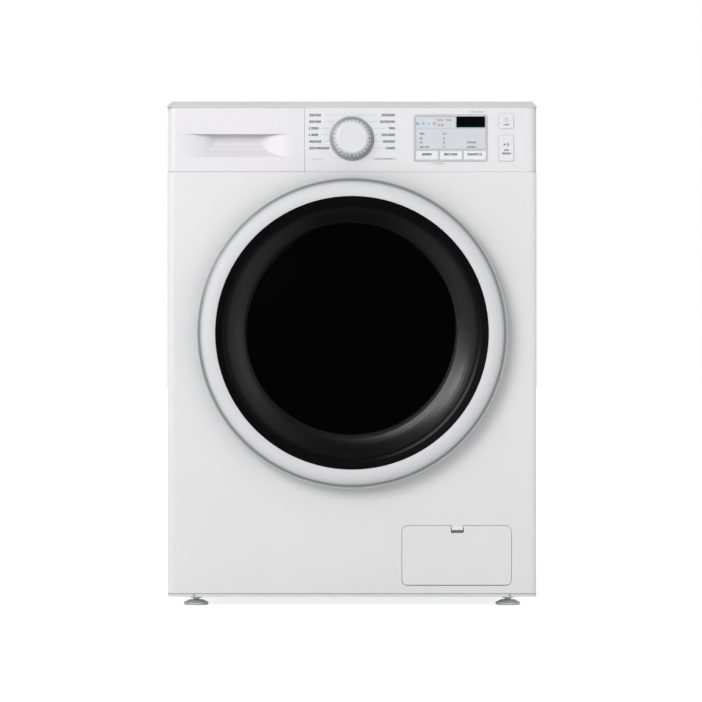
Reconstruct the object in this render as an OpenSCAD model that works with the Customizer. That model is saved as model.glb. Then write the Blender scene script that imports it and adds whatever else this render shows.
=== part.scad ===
// Front load washing machine: steel cabinet with console and porthole door, tub hung on springs, perforated
// drum with belt drive, detergent drawer and drain pump. Millimetres, +Z up. The front looks along -Y, and the
// origin lies on the floor in the middle of the overall width and depth.
// Depths, written d, are counted backwards from the face of the front panel.

/* [Cabinet] */
// Width over the side panels
cabinet_w = 600; // [598:1:640]
// Height from the floor to the top of the cover
cabinet_h = 820; // [816:1:860]
// Depth of the cabinet without the door and the rear fittings
cabinet_d = 550; // [548:1:600]
// Thickness of the steel sheet
sheet = 1.2; // [0.8:0.1:1.4]
// Radius of the upright front corners
corner_r = 11; // [6:1:14]
// Height of the cabinet's lower edge above the floor
foot_h = 16; // [14:1:18]
// Height of the base frame's lip below the front panel
plinth_h = 4.7; // [3:0.1:8]
// Height of the top cover
top_h = 10; // [8:1:12]
// Width of the top cover's bevel
top_bevel = 8; // [4:1:10]
// Height of the console and the drawer front
console_h = 104.4; // [102:0.1:106]
// Gap between neighbouring pieces of the front
front_gap = 0.8; // [0.5:0.1:1.1]
// Depth of the front panel's side returns
return_d = 24; // [18:1:26]
// Width of the bent flanges
flange_w = 14; // [12:1:16]
// Depth of the pressed field in each side panel
press_d = 3; // [2:0.5:4]
// How far the rear fittings stand out behind the cabinet
rear_out = 22; // [18:1:28]
// Distance from a foot's axis to the side of the cabinet
foot_inset = 45; // [40:1:60]
// Radius of a foot's disc
foot_r = 20; // [16:1:24]

/* [Door] */
// Height of the door's centre above the floor
door_z = 444; // [442:1:446]
// Outer radius of the grey trim ring
door_r = 251.5; // [249:0.5:253]
// Outer radius of the white ring
ring_r = 242.4; // [240:0.2:244]
// Outer radius of the pane's black rim
rim_r = 220; // [218:1:221]
// Radius of the pane's hollow
hollow_r = 204.8; // [200:0.2:208]
// Radius of the clear middle of the pane
clear_r = 166; // [162:1:172]
// Distance that the door stands in front of the cabinet
door_out = 42; // [40:1:46]
// Free depth behind the overhanging ring
grip_gap = 23; // [21:1:24]
// Gap between the door's inner frame and the front panel
door_gap = 3; // [2:0.5:4]
// Outer radius of the inner frame
frame_r = 216; // [214:1:217]
// Radius of the bowl glass at the seal
bowl_r = 150; // [144:1:152]
// Depth to which the bowl glass reaches
bowl_d = 100; // [90:1:110]
// Thickness of the bowl glass
glass_t = 5; // [4:0.5:6]
// Distance of the hinge pin from the door's centre
hinge_x = 240; // [239:0.5:241]
// Distance of the hinge pin in front of the panel
hinge_out = 16; // [15:0.5:17]
// Radius of the hinge pin
pin_r = 3; // [2.5:0.1:3.2]
// Radius of the hinge knuckles
knuckle_r = 5; // [4.5:0.1:5.5]
// Distance of the latch hook from the door's centre
latch_x = 204; // [203:0.5:205]
// Radius of the panel's lip round the mouth
mouth_r = 176; // [174:1:178]
// Radius of the shallow dish behind the door
dish_r = 236; // [232:1:240]
// Depth of that dish
dish_d = 7; // [6:0.5:8]
// Depth of the lip's rear edge
lip_d = 24; // [20:1:26]

/* [Console] */
// Distance of the seam between drawer and console from the middle
split_x = 76.5; // [75:0.5:78]
// How much narrower than the cabinet the console is on each side
console_inset = 3; // [2:0.5:5]
// Depth of the console and drawer front shells
console_d = 26; // [24:0.5:27]
// Wall of the moulded pieces
wall = 2.4; // [2:0.1:2.8]
// Radius of the program knob at its foot
knob_r = 34.5; // [31:0.5:36]
// Radius of the knob's cap
cap_r = 25; // [22:0.5:27]
// Distance that the knob stands out
knob_out = 24; // [18:1:28]
// Distance of the knob's axis below the top of the machine
knob_drop = 61; // [58:1:64]
// Distance of the display's middle from the middle of the machine
display_x = 160.2; // [155:0.1:165]
// Width of the display unit
display_w = 119.5; // [110:0.5:125]
// Height of the display unit
display_h = 76.2; // [70:0.1:78]
// Distance of the display's upper edge below the top of the machine
display_drop = 21.9; // [20:0.1:24]
// Height of the option keys
key_h = 14; // [12:0.5:16]
// Distance of the power and start buttons from the middle
button_x = 250.2; // [246:0.1:254]
// Width of the power and start buttons
button_w = 24; // [20:0.5:26]
// Height of the start button
start_h = 42; // [36:0.5:44]
// Distance of the power button's middle below the top
power_drop = 32.8; // [31:0.1:35]
// Distance of the start button's middle below the top
start_drop = 76.5; // [74:0.1:78]
// Travel of every button
press = 1.5; // [1:0.1:1.8]
// Running gap round buttons
button_gap = 0.4; // [0.3:0.05:0.6]

/* [Detergent drawer] */
// Distance from the hand pocket to each side of the drawer front
pocket_side = 19.7; // [18:0.5:30]
// Height of the hand pocket
pocket_h = 36.8; // [32:0.2:40]
// Depth of the hand pocket
pocket_d = 19; // [14:0.5:20]
// Distance of the pocket's upper edge below the top of the machine
pocket_drop = 53.7; // [50:0.1:56]
// Distance from the tray to each side of the drawer front
tray_side = 20.7; // [19.7:0.5:25]
// Length of the drawer's tray
tray_l = 236; // [200:1:240]
// Height of the drawer's tray
tray_h = 74; // [66:1:75]
// Gap between tray and housing on each side
tray_gap = 4.6; // [4:0.1:5]

/* [Drum and tub] */
// Outer radius of the drum
drum_r = 240; // [230:1:241]
// Length of the drum
drum_l = 335; // [320:1:337]
// Thickness of the drum's sheet
drum_sheet = 1.2; // [0.8:0.1:1.5]
// Depth of the drum's front edge
drum_front = 85; // [84:0.5:88]
// Radial space between drum and tub
drum_space = 20; // [19:0.5:21]
// Wall of the tub
tub_wall = 4; // [3:0.5:4.5]
// Depth of the tub's front wall
tub_front_d = 76; // [75:0.5:77]
// Depth of the seam between the tub's halves
seam_d = 230; // [226:1:234]
// Radius of a perforation
hole_r = 3; // [2:0.5:4]
// Height of a lifter
lifter_h = 52; // [40:1:56]
// Radius of the drum's shaft
shaft_r = 12.5; // [10:0.5:14]
// Vertical travel of the hung tub each way
travel = 12; // [8:1:14]

/* [Drive] */
// Radius of the drum pulley
pulley_r = 145; // [130:1:155]
// Radius of the motor pulley
motor_pulley_r = 10; // [9:0.5:12]
// Width of both pulleys
pulley_w = 16; // [14:1:18]
// Thickness of the belt
belt_t = 3; // [2.5:0.5:4]
// Radius of the motor
motor_r = 56; // [50:1:57]
// Length of the motor
motor_l = 130; // [120:1:140]
// Distance of the motor's axis from the middle
motor_x = 60; // [50:1:66]
// Height of the motor's axis above the floor
motor_z = 117; // [115:1:118]

/* [Suspension] */
// Distance of each spring from the side of the cabinet
spring_side = 60; // [58:1:62]
// Depth of the springs' axes
spring_d = 330; // [326:1:340]
// Mean radius of a spring
spring_r = 11; // [9:0.5:12]
// Radius of the spring's wire
wire_r = 1.6; // [1.2:0.1:1.8]
// Turns of a spring
spring_turns = 12; // [9:1:14]
// Distance of each damper from the side of the cabinet
damper_side = 110; // [108:1:114]
// Depth of the dampers' axes
damper_d = 262; // [258:1:270]
// Outer radius of a damper's cylinder
damper_r = 16; // [14:0.5:17]

/* [Drain] */
// Distance of the filter cover's middle from the middle of the machine
cover_x = 169.7; // [166:0.1:172]
// Width of the filter cover
cover_w = 177; // [170:1:180]
// Height of the filter cover
cover_h = 96.7; // [92:0.1:98]
// Height of the filter cover's lower edge above the floor
cover_z = 34.6; // [33:0.1:36]
// Radius of the filter cover's corners
cover_r = 9.5; // [6:0.5:10]
// Inner radius of the pump's filter housing
filter_r = 31; // [28:0.5:32]
// Outer radius of the drain spigot
spigot_r = 11; // [9:0.5:12]
// Outer radius of the water inlet's thread
inlet_r = 13.2; // [12:0.1:14]

/* [Hidden] */
$fn = 96;

paint = "#E4E4E6";
pale = "#EDEDEF";
silver = "#C4C6CA";
zinc = "#A9ADB0";
dark = "#1B1C1E";
grey = "#D0D2D4";
steel = "#B9BCC0";
tub_grey = "#D9DAD4";

seat = 0.3;          // gap between pieces that rest on each other but move apart
run = 0.05;          // radial gap of shafts and pins in their bores
past = 1;            // how far a cut runs past the face it cuts

front_y = -(door_out + cabinet_d + rear_out) / 2 + door_out;
half_w = cabinet_w / 2;
back_d = cabinet_d - sheet;
cover_bottom = cabinet_h - top_h;
seam_z = cover_bottom - console_h;
panel_z = foot_h + plinth_h + front_gap;
floor_z = foot_h + sheet;
knob_z = cabinet_h - knob_drop;
display_z = cabinet_h - display_drop - display_h / 2;
power_z = cabinet_h - power_drop;
start_z = cabinet_h - start_drop;
board_d = 20;
board_t = 1.6;

drum_back = drum_front + drum_l;
tub_in = drum_r + drum_space;
tub_out = tub_in + tub_wall;
tub_back_d = drum_back + 20;
collar_r = mouth_r + 7.5;
hub_r = 44;
front_race_r = 31;
rear_race_r = 26;
race_w = 16;
front_race_d = tub_back_d + tub_wall + 2;
rear_race_d = front_race_d + race_w + 14;
hub_end_d = rear_race_d + race_w + 2;
pulley_d = hub_end_d + 7;
shaft_end_d = pulley_d + pulley_w + 9;

tray_x = -(half_w - console_inset + split_x) / 2;
drawer_w = half_w - console_inset - split_x;
tray_w = drawer_w - 2 * tray_side;
pocket_w = drawer_w - 2 * pocket_side;
tray_top = cover_bottom - 12;
tray_z = tray_top - tray_h;
tray_d = console_d;
housing_w = tray_w + 2 * tray_gap + 2 * wall;
housing_z = tray_z - 6;
housing_d = tray_d + 6;
housing_l = tray_l + 24;
valve_x = tray_x + 8;
valve_z = tray_z + 38;
inlet_hose_r = 8;

spring_x = half_w - spring_side;
damper_x = half_w - damper_side;
rail_h = 22;
rail_w = 12;
rail_top = cover_bottom - sheet;
spring_top = rail_top - rail_h - 18;
spring_low = door_z + 160;
eye = spring_r - wire_r - seat - 3;
ear_z = spring_low - eye;
damper_foot = 44;
lug_z = door_z - 212;

cover_gap = front_gap;
cover_t = 3;
cover_pin_r = 1.2;
tip_bevel = 1.6;
cover_axis_d = 2.7;
cover_axis_z = cover_z + cover_r + 0.5;
filter_z = cover_z + 45.4;
filter_front = 15;
volute_d = 112;
inlet_d = 96;
outlet_z = filter_z - 12;
drain_x = cover_x + 72;

// ---- helpers ----

// Box given by its spans in x, depth and z
module block(x, d, z) {
  translate([x[0], front_y + d[0], z[0]]) cube([x[1] - x[0], d[1] - d[0], z[1] - z[0]]);
}

// Outline in x and z, made solid from depth d0 to d1
module slab(d0, d1) {
  translate([0, front_y + d1, 0]) rotate([90, 0, 0]) linear_extrude(d1 - d0) children();
}

// Outline in depth and z, made solid from x0 to x1
module side_slab(x0, x1) {
  translate([x0, front_y, 0]) rotate([90, 0, 90]) linear_extrude(x1 - x0) children();
}

// Outline in x and depth, made solid from z0 to z1
module plan_slab(z0, z1) {
  translate([0, front_y, z0]) linear_extrude(z1 - z0) children();
}

// Profile in radius and depth, turned about the horizontal axis at x and z
module turned(x, z) {
  translate([x, front_y, z]) rotate([-90, 0, 0]) rotate_extrude() children();
}

// Cylinder along the depth
module bar(x, z, r, d0, d1) {
  translate([x, front_y + d0, z]) rotate([-90, 0, 0]) cylinder(r = r, h = d1 - d0);
}

// Profile in radius and z, turned about an upright axis
module upright(x, d) {
  translate([x, front_y + d, 0]) rotate_extrude() children();
}

module post(x, d, r, z0, z1) {
  translate([x, front_y + d, z0]) cylinder(r = r, h = z1 - z0);
}

// Rectangle with round corners
module rrect(w, h, r) {
  square([w - 2 * r, h], center = true);
  square([w, h - 2 * r], center = true);
  for (x = [-1, 1], y = [-1, 1]) translate([x * (w / 2 - r), y * (h / 2 - r)]) circle(r);
}

// Slot with fully round ends, lying or standing
module slot(w, h) {
  r = min(w, h) / 2;
  if (w > h) square([w - h, h], center = true);
  if (h > w) square([w, h - w], center = true);
  for (s = [-1, 1]) translate([s * (w / 2 - r), s * (h / 2 - r)]) circle(r);
}

// Plan of a piece whose two front corners are round
module round_front(w, d, r) {
  translate([-w / 2 + r, 0]) square([w - 2 * r, d]);
  translate([-w / 2, r]) square([w, d - r]);
  for (s = [-1, 1]) translate([s * (w / 2 - r), r]) circle(r);
}

// The same plan as a bent wall, open at the back
module bent_front(w, d, r, t) {
  difference() {
    round_front(w, d, r);
    translate([0, t]) round_front(w - 2 * t, d + past, r - t);
  }
}

function unit(v) = v / norm(v);
function turn_left(v) = [-v[1], v[0]];
function before(p, i) = unit(p[max(i, 1)] - p[max(i, 1) - 1]);
function after(p, i) = unit(p[min(i + 1, len(p) - 1)] - p[min(i, len(p) - 2)]);
function beside(p, i, t) =
  let (m = unit(turn_left(before(p, i)) + turn_left(after(p, i))))
  p[i] + m * t / (m * turn_left(after(p, i)));

// Outline of a strip of thickness t that follows a path, with mitred corners
function strip(p, t) = concat(
  [for (i = [0 : len(p) - 1]) beside(p, i, t / 2)],
  [for (i = [len(p) - 1 : -1 : 0]) beside(p, i, -t / 2)]
);

// Points on an arc about c from angle a0 to a1
function arc(c, r, a0, a1, n) = [for (i = [0 : n]) let (a = a0 + (a1 - a0) * i / n) c + r * [cos(a), sin(a)]];

// ---- cabinet ----

module side_panel() {
  front = return_d + front_gap;
  field = [cabinet_d - front - 90, cover_bottom - foot_h - 150];
  field_r = 24;
  middle = [(front + back_d) / 2, (cover_bottom + foot_h) / 2 - 25];
  difference() {
    union() {
      block([half_w - sheet, half_w], [front, back_d], [foot_h, cover_bottom]);
      for (z = [foot_h, cover_bottom - sheet])
        block([half_w - flange_w, half_w], [console_d + seat, back_d], [z, z + sheet]);
      block([half_w - flange_w, half_w], [back_d - sheet, back_d], [foot_h, cover_bottom]);
      side_slab(half_w - press_d - sheet, half_w - sheet / 2)
        translate(middle) rrect(field[0], field[1], field_r);
    }
    side_slab(half_w - press_d, half_w + past)
      translate(middle) rrect(field[0] - 2 * sheet, field[1] - 2 * sheet, field_r - sheet);
    for (z = edge_heights) bar(half_w - flange_w / 2, z, 2.2, back_d - 2 * sheet, cabinet_d);
  }
}

module left_side_panel() color(paint) mirror([1, 0, 0]) side_panel();

module right_side_panel() color(paint) side_panel();

module cover_outline(grow) {
  translate([cover_x, cover_z + cover_h / 2]) rrect(cover_w + 2 * grow, cover_h + 2 * grow, cover_r + grow);
}

module hinge_holes(r, d0, d1) {
  for (z = [-46, 46]) bar(-hinge_x + 36, door_z + z, r, d0, d1);
}

module front_panel() color(paint) {
  top = seam_z - front_gap;
  slot = [27, 26];
  difference() {
    union() {
      plan_slab(panel_z, top) bent_front(cabinet_w, return_d, corner_r, sheet);
      for (z = [panel_z, top - sheet])
        block([corner_r - half_w, half_w - corner_r], [sheet / 2, flange_w], [z, z + sheet]);
    }
    bar(0, door_z, dish_r, -past, sheet + past);
    slab(-past, flange_w) cover_outline(cover_gap);
  }
  difference() {
    turned(0, door_z) polygon(strip([
      [dish_r + 2, sheet / 2], [dish_r, sheet / 2], [dish_r - 6, dish_d + sheet / 2],
      [mouth_r + sheet / 2, dish_d + sheet / 2], [mouth_r + sheet / 2, lip_d]
    ], sheet));
    slab(0, lip_d) translate([latch_x, door_z]) rrect(slot[0], slot[1], 3);
    hinge_holes(2.5, 0, lip_d);
  }
}

module top_cover() color(paint) {
  rim = 16;
  edge = 2;
  difference() {
    intersection() {
      slab(0, cabinet_d) polygon([
        [-half_w, cover_bottom], [half_w, cover_bottom], [half_w, cover_bottom + edge],
        [half_w - top_bevel, cabinet_h], [top_bevel - half_w, cabinet_h], [-half_w, cover_bottom + edge]
      ]);
      side_slab(-half_w, half_w) polygon([
        [0, cover_bottom], [0, cover_bottom + edge], [top_bevel, cabinet_h], [cabinet_d, cabinet_h],
        [cabinet_d, cover_bottom]
      ]);
    }
    for (i = [0 : 3]) {
      bay = (cabinet_d - 2 * rim) / 4;
      block([rim - half_w, half_w - rim], [rim + i * bay, rim + (i + 1) * bay - 3],
        [cover_bottom - past, cabinet_h - 3]);
    }
  }
}

service_w = 300;
service_h = 400;
transit_x = service_w / 2 + 40;
transit_dz = 120;
transit_r = 15;

// Places of the screws in the rear: round the service cover, then along the panel's edges
cover_screws = [for (x = [-1, 1], z = [-1 : 1]) [x * (service_w / 2 + 8), door_z + z * (service_h / 2 - 20)]];
edge_low = foot_h + 68;
edge_heights = [for (i = [0 : 4]) edge_low + i * (cover_bottom - 46 - edge_low) / 4];
edge_screws = [for (x = [-1, 1], z = edge_heights) [x * (half_w - flange_w / 2), z]];

module rear_panel() color(zinc) {
  difference() {
    union() {
      block([-half_w, half_w], [back_d, cabinet_d], [foot_h, cover_bottom]);
      for (z = [door_z - 290 : 40 : door_z - 250])
        slab(back_d - 3, cabinet_d - sheet / 2) translate([0, z]) slot(service_w, 16);
    }
    for (z = [door_z - 290 : 40 : door_z - 250])
      slab(back_d - 3 + sheet, cabinet_d + past) translate([0, z]) slot(service_w - 2 * sheet, 16 - 2 * sheet);
    slab(back_d - past, cabinet_d + past) translate([0, door_z]) rrect(service_w, service_h, 20);
    for (x = [-1, 1], z = [-1, 1])
      bar(x * transit_x, door_z + z * transit_dz, transit_r, back_d - past, cabinet_d + past);
    bar(valve_x, valve_z, inlet_r + 3 + seat, back_d - past, cabinet_d + past);
    bar(drain_x, outlet_z, spigot_r + run, back_d - past, cabinet_d + past);
    bar(-half_w + 70, valve_z - 60, 9 + run, back_d - past, cabinet_d + past);
    for (p = concat(cover_screws, edge_screws)) bar(p[0], p[1], 2.2, back_d - past, cabinet_d + past);
  }
}

module service_cover() color(zinc) {
  w = service_w + 32;
  h = service_h + 32;
  difference() {
    union() {
      slab(cabinet_d, cabinet_d + sheet) translate([0, door_z]) rrect(w, h, 26);
      slab(cabinet_d, cabinet_d + 7) translate([0, door_z]) rrect(service_w - 30, service_h - 30, 60);
    }
    slab(cabinet_d - past, cabinet_d + 7 - sheet)
      translate([0, door_z]) rrect(service_w - 30 - 2 * sheet, service_h - 30 - 2 * sheet, 60 - sheet);
    for (p = cover_screws) bar(p[0], p[1], 2.2, cabinet_d - past, cabinet_d + 3);
    for (i = [-3 : 3]) slab(cabinet_d, cabinet_d + 9) translate([i * 26, door_z + 130]) slot(8, 60);
  }
}

module foot_places() {
  for (x = [-1, 1], d = [foot_inset, cabinet_d - foot_inset])
    translate([x * (half_w - foot_inset), front_y + d, 0]) children();
}

module base_frame() color(grey) {
  side = half_w - sheet - 0.1;
  tray_wall = 2.5;
  front = flange_w + seat;
  top = floor_z + 26;
  lip = foot_h + plinth_h;
  bay = 2 * side / 4;
  long = (back_d - sheet - front) / 3;
  difference() {
    union() {
      difference() {
        block([-side, side], [front, back_d - sheet], [floor_z, top]);
        for (i = [-2 : 1], j = [0 : 2])
          block([i * bay + tray_wall / 2, (i + 1) * bay - tray_wall / 2],
            [front + j * long + tray_wall / 2, front + (j + 1) * long - tray_wall / 2], [floor_z + tray_wall, top + past]);
      }
      // lip under the front panel
      plan_slab(foot_h, lip) intersection() {
        round_front(cabinet_w, return_d, corner_r);
        translate([-half_w, 0]) square([cabinet_w, 12]);
      }
      block([-side, side], [11, front + 1], [floor_z, lip]);
      foot_places() translate([0, 0, floor_z]) cylinder(r = 13, h = 24);
      for (s = [-1, 1]) block([s * damper_x - 20, s * damper_x + 20], [damper_d - 22, damper_d + 22],
        [floor_z + 1, damper_foot]);
    }
    foot_places() translate([0, 0, foot_h]) cylinder(r = 5 + run, h = 30);
    for (s = [-1, 1]) bar(s * (half_w - 44), (foot_h + lip) / 2, 1.5, -past, 8);
  }
}

module levelling_feet() color("#C9CACC") {
  foot_places() {
    rotate_extrude() polygon([[0, 0], [foot_r - 1, 0], [foot_r, 1.5], [foot_r, 4], [12, 8], [5, 8], [5, 38], [0, 38]]);
    translate([0, 0, floor_z - 6]) difference() {
      cylinder(r = 9, h = 6, $fn = 6);
      translate([0, 0, -past]) cylinder(r = 5 + run, h = 6 + 2 * past);
    }
  }
}

// Welded frame under the cover: front bar with uprights, side rails, rear bar and the springs' hangers
module top_frame() color(zinc) {
  inner = half_w - sheet - rail_w;
  uprights = [console_d + 2, console_d + 13];
  front_bar = [4, uprights[1]];
  bar_top = seam_z - front_gap - sheet - seat;
  for (s = [0, 1]) mirror([s, 0, 0]) {
    block([inner, half_w - sheet], [uprights[0], back_d - sheet], [rail_top - rail_h, rail_top]);
    block([inner, half_w - sheet], uprights, [bar_top - 16, rail_top]);
    difference() {
      block([spring_x - 14, inner + 1], [spring_d - 9, spring_d + 9], [spring_top + eye - 4, rail_top - rail_h + 2]);
      block([spring_x - 14 - past, spring_x + 16], [spring_d - 5, spring_d + 5], [spring_top, rail_top]);
    }
    bar(spring_x, spring_top + eye, 3, spring_d - 6, spring_d + 6);
  }
  difference() {
    block([-half_w + sheet, half_w - sheet], front_bar, [bar_top - 16, bar_top]);
    block([sheet - half_w - past, return_d - half_w], [0, uprights[0]], [0, bar_top + past]);
    block([half_w - return_d, half_w], [0, uprights[0]], [0, bar_top + past]);
  }
  block([-inner, inner], [back_d - sheet - 26, back_d - sheet], [rail_top - rail_h, rail_top]);
}

// ---- console ----

// Moulded shell between x0 and x1 with the cabinet's round corner, open at the back
module fascia(x0, x1) {
  z0 = seam_z;
  z1 = cover_bottom - front_gap;
  w = cabinet_w - 2 * console_inset;
  difference() {
    intersection() {
      plan_slab(z0, z1) round_front(w, console_d, corner_r);
      block([x0, x1], [-past, console_d], [z0, z1]);
    }
    intersection() {
      plan_slab(z0 + wall, z1 - wall) translate([0, wall]) round_front(w - 2 * wall, console_d, corner_r - wall);
      block([x0 + wall, x1 - wall], [0, console_d + past], [z0, z1]);
    }
  }
}

knob_recess = 2;
posts = [[-55, 66], [-55, 18], [90, 10], [232, 50], [232, 12]];

module console_panel() color(pale) {
  difference() {
    union() {
      difference() {
        fascia(-split_x + front_gap / 2, half_w - console_inset);
        slab(-past, wall + past) translate([display_x, display_z]) rrect(display_w, display_h, 4);
        slab(-past, wall + past) translate([button_x, power_z])
          rrect(button_w + 2 * button_gap, button_w + 2 * button_gap, 4);
        slab(-past, wall + past) translate([button_x, start_z])
          rrect(button_w + 2 * button_gap, start_h + 2 * button_gap, 4);
      }
      bar(0, knob_z, knob_r + 5, wall / 2, wall + knob_recess);
      for (p = posts) bar(p[0], seam_z + p[1], 3.5, wall / 2, board_d);
    }
    bar(0, knob_z, knob_r + 1.5, -past, knob_recess);
    bar(0, knob_z, 3.5, 0, console_d);
  }
}

key_w = (display_w - 12) / 3;
key_z = display_z - display_h / 2 + 3 + key_h / 2;
window_h = display_h - key_h - 9;
window_z = display_z + display_h / 2 - 3 - window_h / 2;

module display_frame() color(silver) {
  difference() {
    union() {
      slab(-0.9, 4) translate([display_x, display_z]) rrect(display_w - 2 * seat, display_h - 2 * seat, 3.7);
      slab(wall + seat, 4) translate([display_x, display_z]) rrect(display_w + 4, display_h + 4, 3);
    }
    slab(-past, 5) translate([display_x, window_z]) rrect(display_w - 6, window_h, 2);
    for (i = [-1 : 1])
      slab(-past, 5) translate([display_x + i * (key_w + 3), key_z])
        rrect(key_w + 2 * button_gap, key_h + 2 * button_gap, 1.5 + button_gap);
  }
}

module display_window() color("#CFD8DC") {
  slab(-0.5, 3) translate([display_x, window_z]) rrect(display_w - 6 - 2 * seat, window_h - 2 * seat, 1.7);
}

module option_key(i) {
  slab(-1.6, 4) translate([display_x + i * (key_w + 3), key_z]) rrect(key_w, key_h, 1.5);
  bar(display_x + i * (key_w + 3), key_z, 2, 3, 7);
}

module option_key_left() color(silver) option_key(-1);

module option_key_middle() color(silver) option_key(0);

module option_key_right() color(silver) option_key(1);

module push_button(z, h) {
  slab(-press - 0.5, 0.2) translate([button_x, z]) rrect(button_w - 1, h - 1, 3);
  slab(-press + 0.2, 5) translate([button_x, z]) rrect(button_w, h, 3.6);
  bar(button_x, z, 3, 4, 9);
}

module power_button() color(pale) push_button(power_z, button_w);

module start_button() color(pale) push_button(start_z, start_h);

module program_knob() color("#EDEEF1") {
  grips = 28;
  back = knob_recess - seat;
  difference() {
    turned(0, knob_z) {
      polygon([
        [0, -knob_out], [cap_r - 2, -knob_out], [cap_r - 0.6, -knob_out + 0.6], [cap_r, -knob_out + 2],
        [knob_r - 3, -5], [knob_r, -4], [knob_r, back], [0, back]
      ]);
      square([3, board_d - 4]);
    }
    for (i = [0 : grips - 1])
      translate([0, front_y, knob_z]) rotate([0, i * 360 / grips, 0]) translate([cap_r + 4.2, -5.5, 0])
        rotate([90, 0, 0]) cylinder(r = 2.2, h = knob_out);
  }
}

module control_board() color("#2F6B4F") {
  edges = [-70, half_w - console_inset - wall - 6];
  difference() {
    union() {
      block(edges, [board_d, board_d + board_t], [seam_z + 6, cover_bottom - 8]);
      block([-9, 9], [board_d - 10, board_d], [knob_z - 9, knob_z + 9]);
    }
    bar(0, knob_z, 3 + run, 0, board_d + 5);
  }
  block([display_x - 52, display_x + 52], [5, board_d], [window_z - window_h / 2 + 3, window_z + window_h / 2 - 3]);
  for (i = [-1 : 1]) {
    x = display_x + i * (key_w + 3);
    block([x - 4, x + 4], [7 + press + seat, board_d], [key_z - 4, key_z + 4]);
  }
  for (z = [power_z, start_z])
    block([button_x - 5, button_x + 5], [9 + press + seat, board_d], [z - 5, z + 5]);
}

// ---- detergent drawer ----

module pocket(grow) {
  top = cabinet_h - pocket_drop + grow;
  low = top - pocket_h - 2 * grow;
  depth = pocket_d + grow;
  half = pocket_w / 2 + grow;
  slope = 54;
  steps = 8;
  // flank that starts level with the face and grows steeper towards the middle
  flank = [for (i = [0 : steps]) [-half + slope * i / steps, depth * pow(i / steps, 2.2)]];
  intersection() {
    // seen from the side: overhung upper edge, scooped floor
    side_slab(tray_x - half, tray_x + half) polygon([
      [-past, low - 1.5 * past], [-past, top], [2.5, top], [4, top + 4], [depth - 3, top + 4], [depth, top + 1],
      [depth, top - 11], [depth - 2.5, top - 18], [depth - 8, top - 26]
    ]);
    plan_slab(low - 20, top + 20) translate([tray_x, 0]) polygon(concat(
      [[-half, -past]], flank, [for (i = [steps : -1 : 0]) [-flank[i][0], flank[i][1]]], [[half, -past]]
    ));
  }
}

module drawer_front() color(pale) {
  difference() {
    union() {
      fascia(-half_w + console_inset, -split_x - front_gap / 2);
      intersection() {
        pocket(wall);
        block([-half_w, 0], [wall / 2, console_d - seat], [seam_z, cover_bottom]);
      }
    }
    pocket(0);
  }
}

module detergent_drawer() color("#EAECEE") {
  t = 2.2;
  x0 = tray_x - tray_w / 2;
  inner = tray_w - 2 * t;
  bays = [0, 0.3, 0.74, 1];
  difference() {
    block([x0, x0 + tray_w], [tray_d, tray_d + tray_l], [tray_z, tray_top]);
    for (i = [0 : 2])
      block([x0 + t + inner * bays[i] + (i > 0 ? t / 2 : 0), x0 + t + inner * bays[i + 1] - (i < 2 ? t / 2 : 0)],
        [tray_d + t, tray_d + tray_l - (i < 2 ? -past : t)], [tray_z + t, tray_top + past]);
  }
  // low sill at the open rear of the washing powder bays
  block([x0, x0 + tray_w], [tray_d + tray_l - t, tray_d + tray_l], [tray_z, tray_z + 14]);
}

siphon_z = 46;

module siphon_insert() color("#5B86B5") {
  t = 2.2;
  inner = tray_w - 2 * t;
  x0 = tray_x - tray_w / 2 + t + inner * 0.74 + t / 2 + seat;
  x1 = tray_x + tray_w / 2 - t - seat;
  d0 = tray_d + tray_l - 110;
  middle = [(x0 + x1) / 2, d0 + 60];
  difference() {
    union() {
      block([x0, x1], [d0, tray_d + tray_l - t - seat], [tray_z + siphon_z, tray_z + siphon_z + 2]);
      post(middle[0], middle[1], 8, tray_z + t + seat, tray_z + siphon_z + 1);
      post(middle[0], middle[1], 12, tray_z + siphon_z, tray_z + siphon_z + 8);
    }
    post(middle[0], middle[1], 5.5, tray_z, tray_z + siphon_z + 4);
    block([x0 + 6, x1 - 6], [d0 + 6, d0 + 26], [tray_z, tray_z + siphon_z + 5]);
  }
}

module dispenser_housing() color(tub_grey) {
  x0 = tray_x - housing_w / 2;
  z1 = tray_top + tray_gap + wall;
  back = housing_d + housing_l;
  spout = [tray_x - 3, housing_d + 155];
  difference() {
    union() {
      block([x0, x0 + housing_w], [housing_d, back], [housing_z, z1]);
      post(spout[0], spout[1], 18, housing_z - 10, housing_z + 1);
      bar(valve_x, valve_z, inlet_hose_r + 3, back - 1, back + 12);
      block([-half_w + sheet + rail_w, x0 + 1], [housing_d + 60, housing_d + 100], [z1 - 14, z1 - 4]);
    }
    block([x0 + wall, x0 + housing_w - wall], [housing_d - past, back - wall], [housing_z + wall, z1 - wall]);
    post(spout[0], spout[1], 15, housing_z - 11, housing_z + wall + past);
    bar(valve_x, valve_z, inlet_hose_r + run, back - wall - past, back + 13);
  }
  for (s = [-1, 1])
    block([tray_x + s * tray_w * 0.3 - 2, tray_x + s * tray_w * 0.3 + 2], [housing_d, back - 20],
      [housing_z + wall - 0.5, tray_z - seat]);
  // nozzle ribs of the water distributor over the tray
  for (i = [1 : 4])
    block([x0 + 1, x0 + housing_w - 1], [housing_d + i * 48, housing_d + i * 48 + 3], [tray_top + 1.5, z1 - 1]);
}

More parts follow.
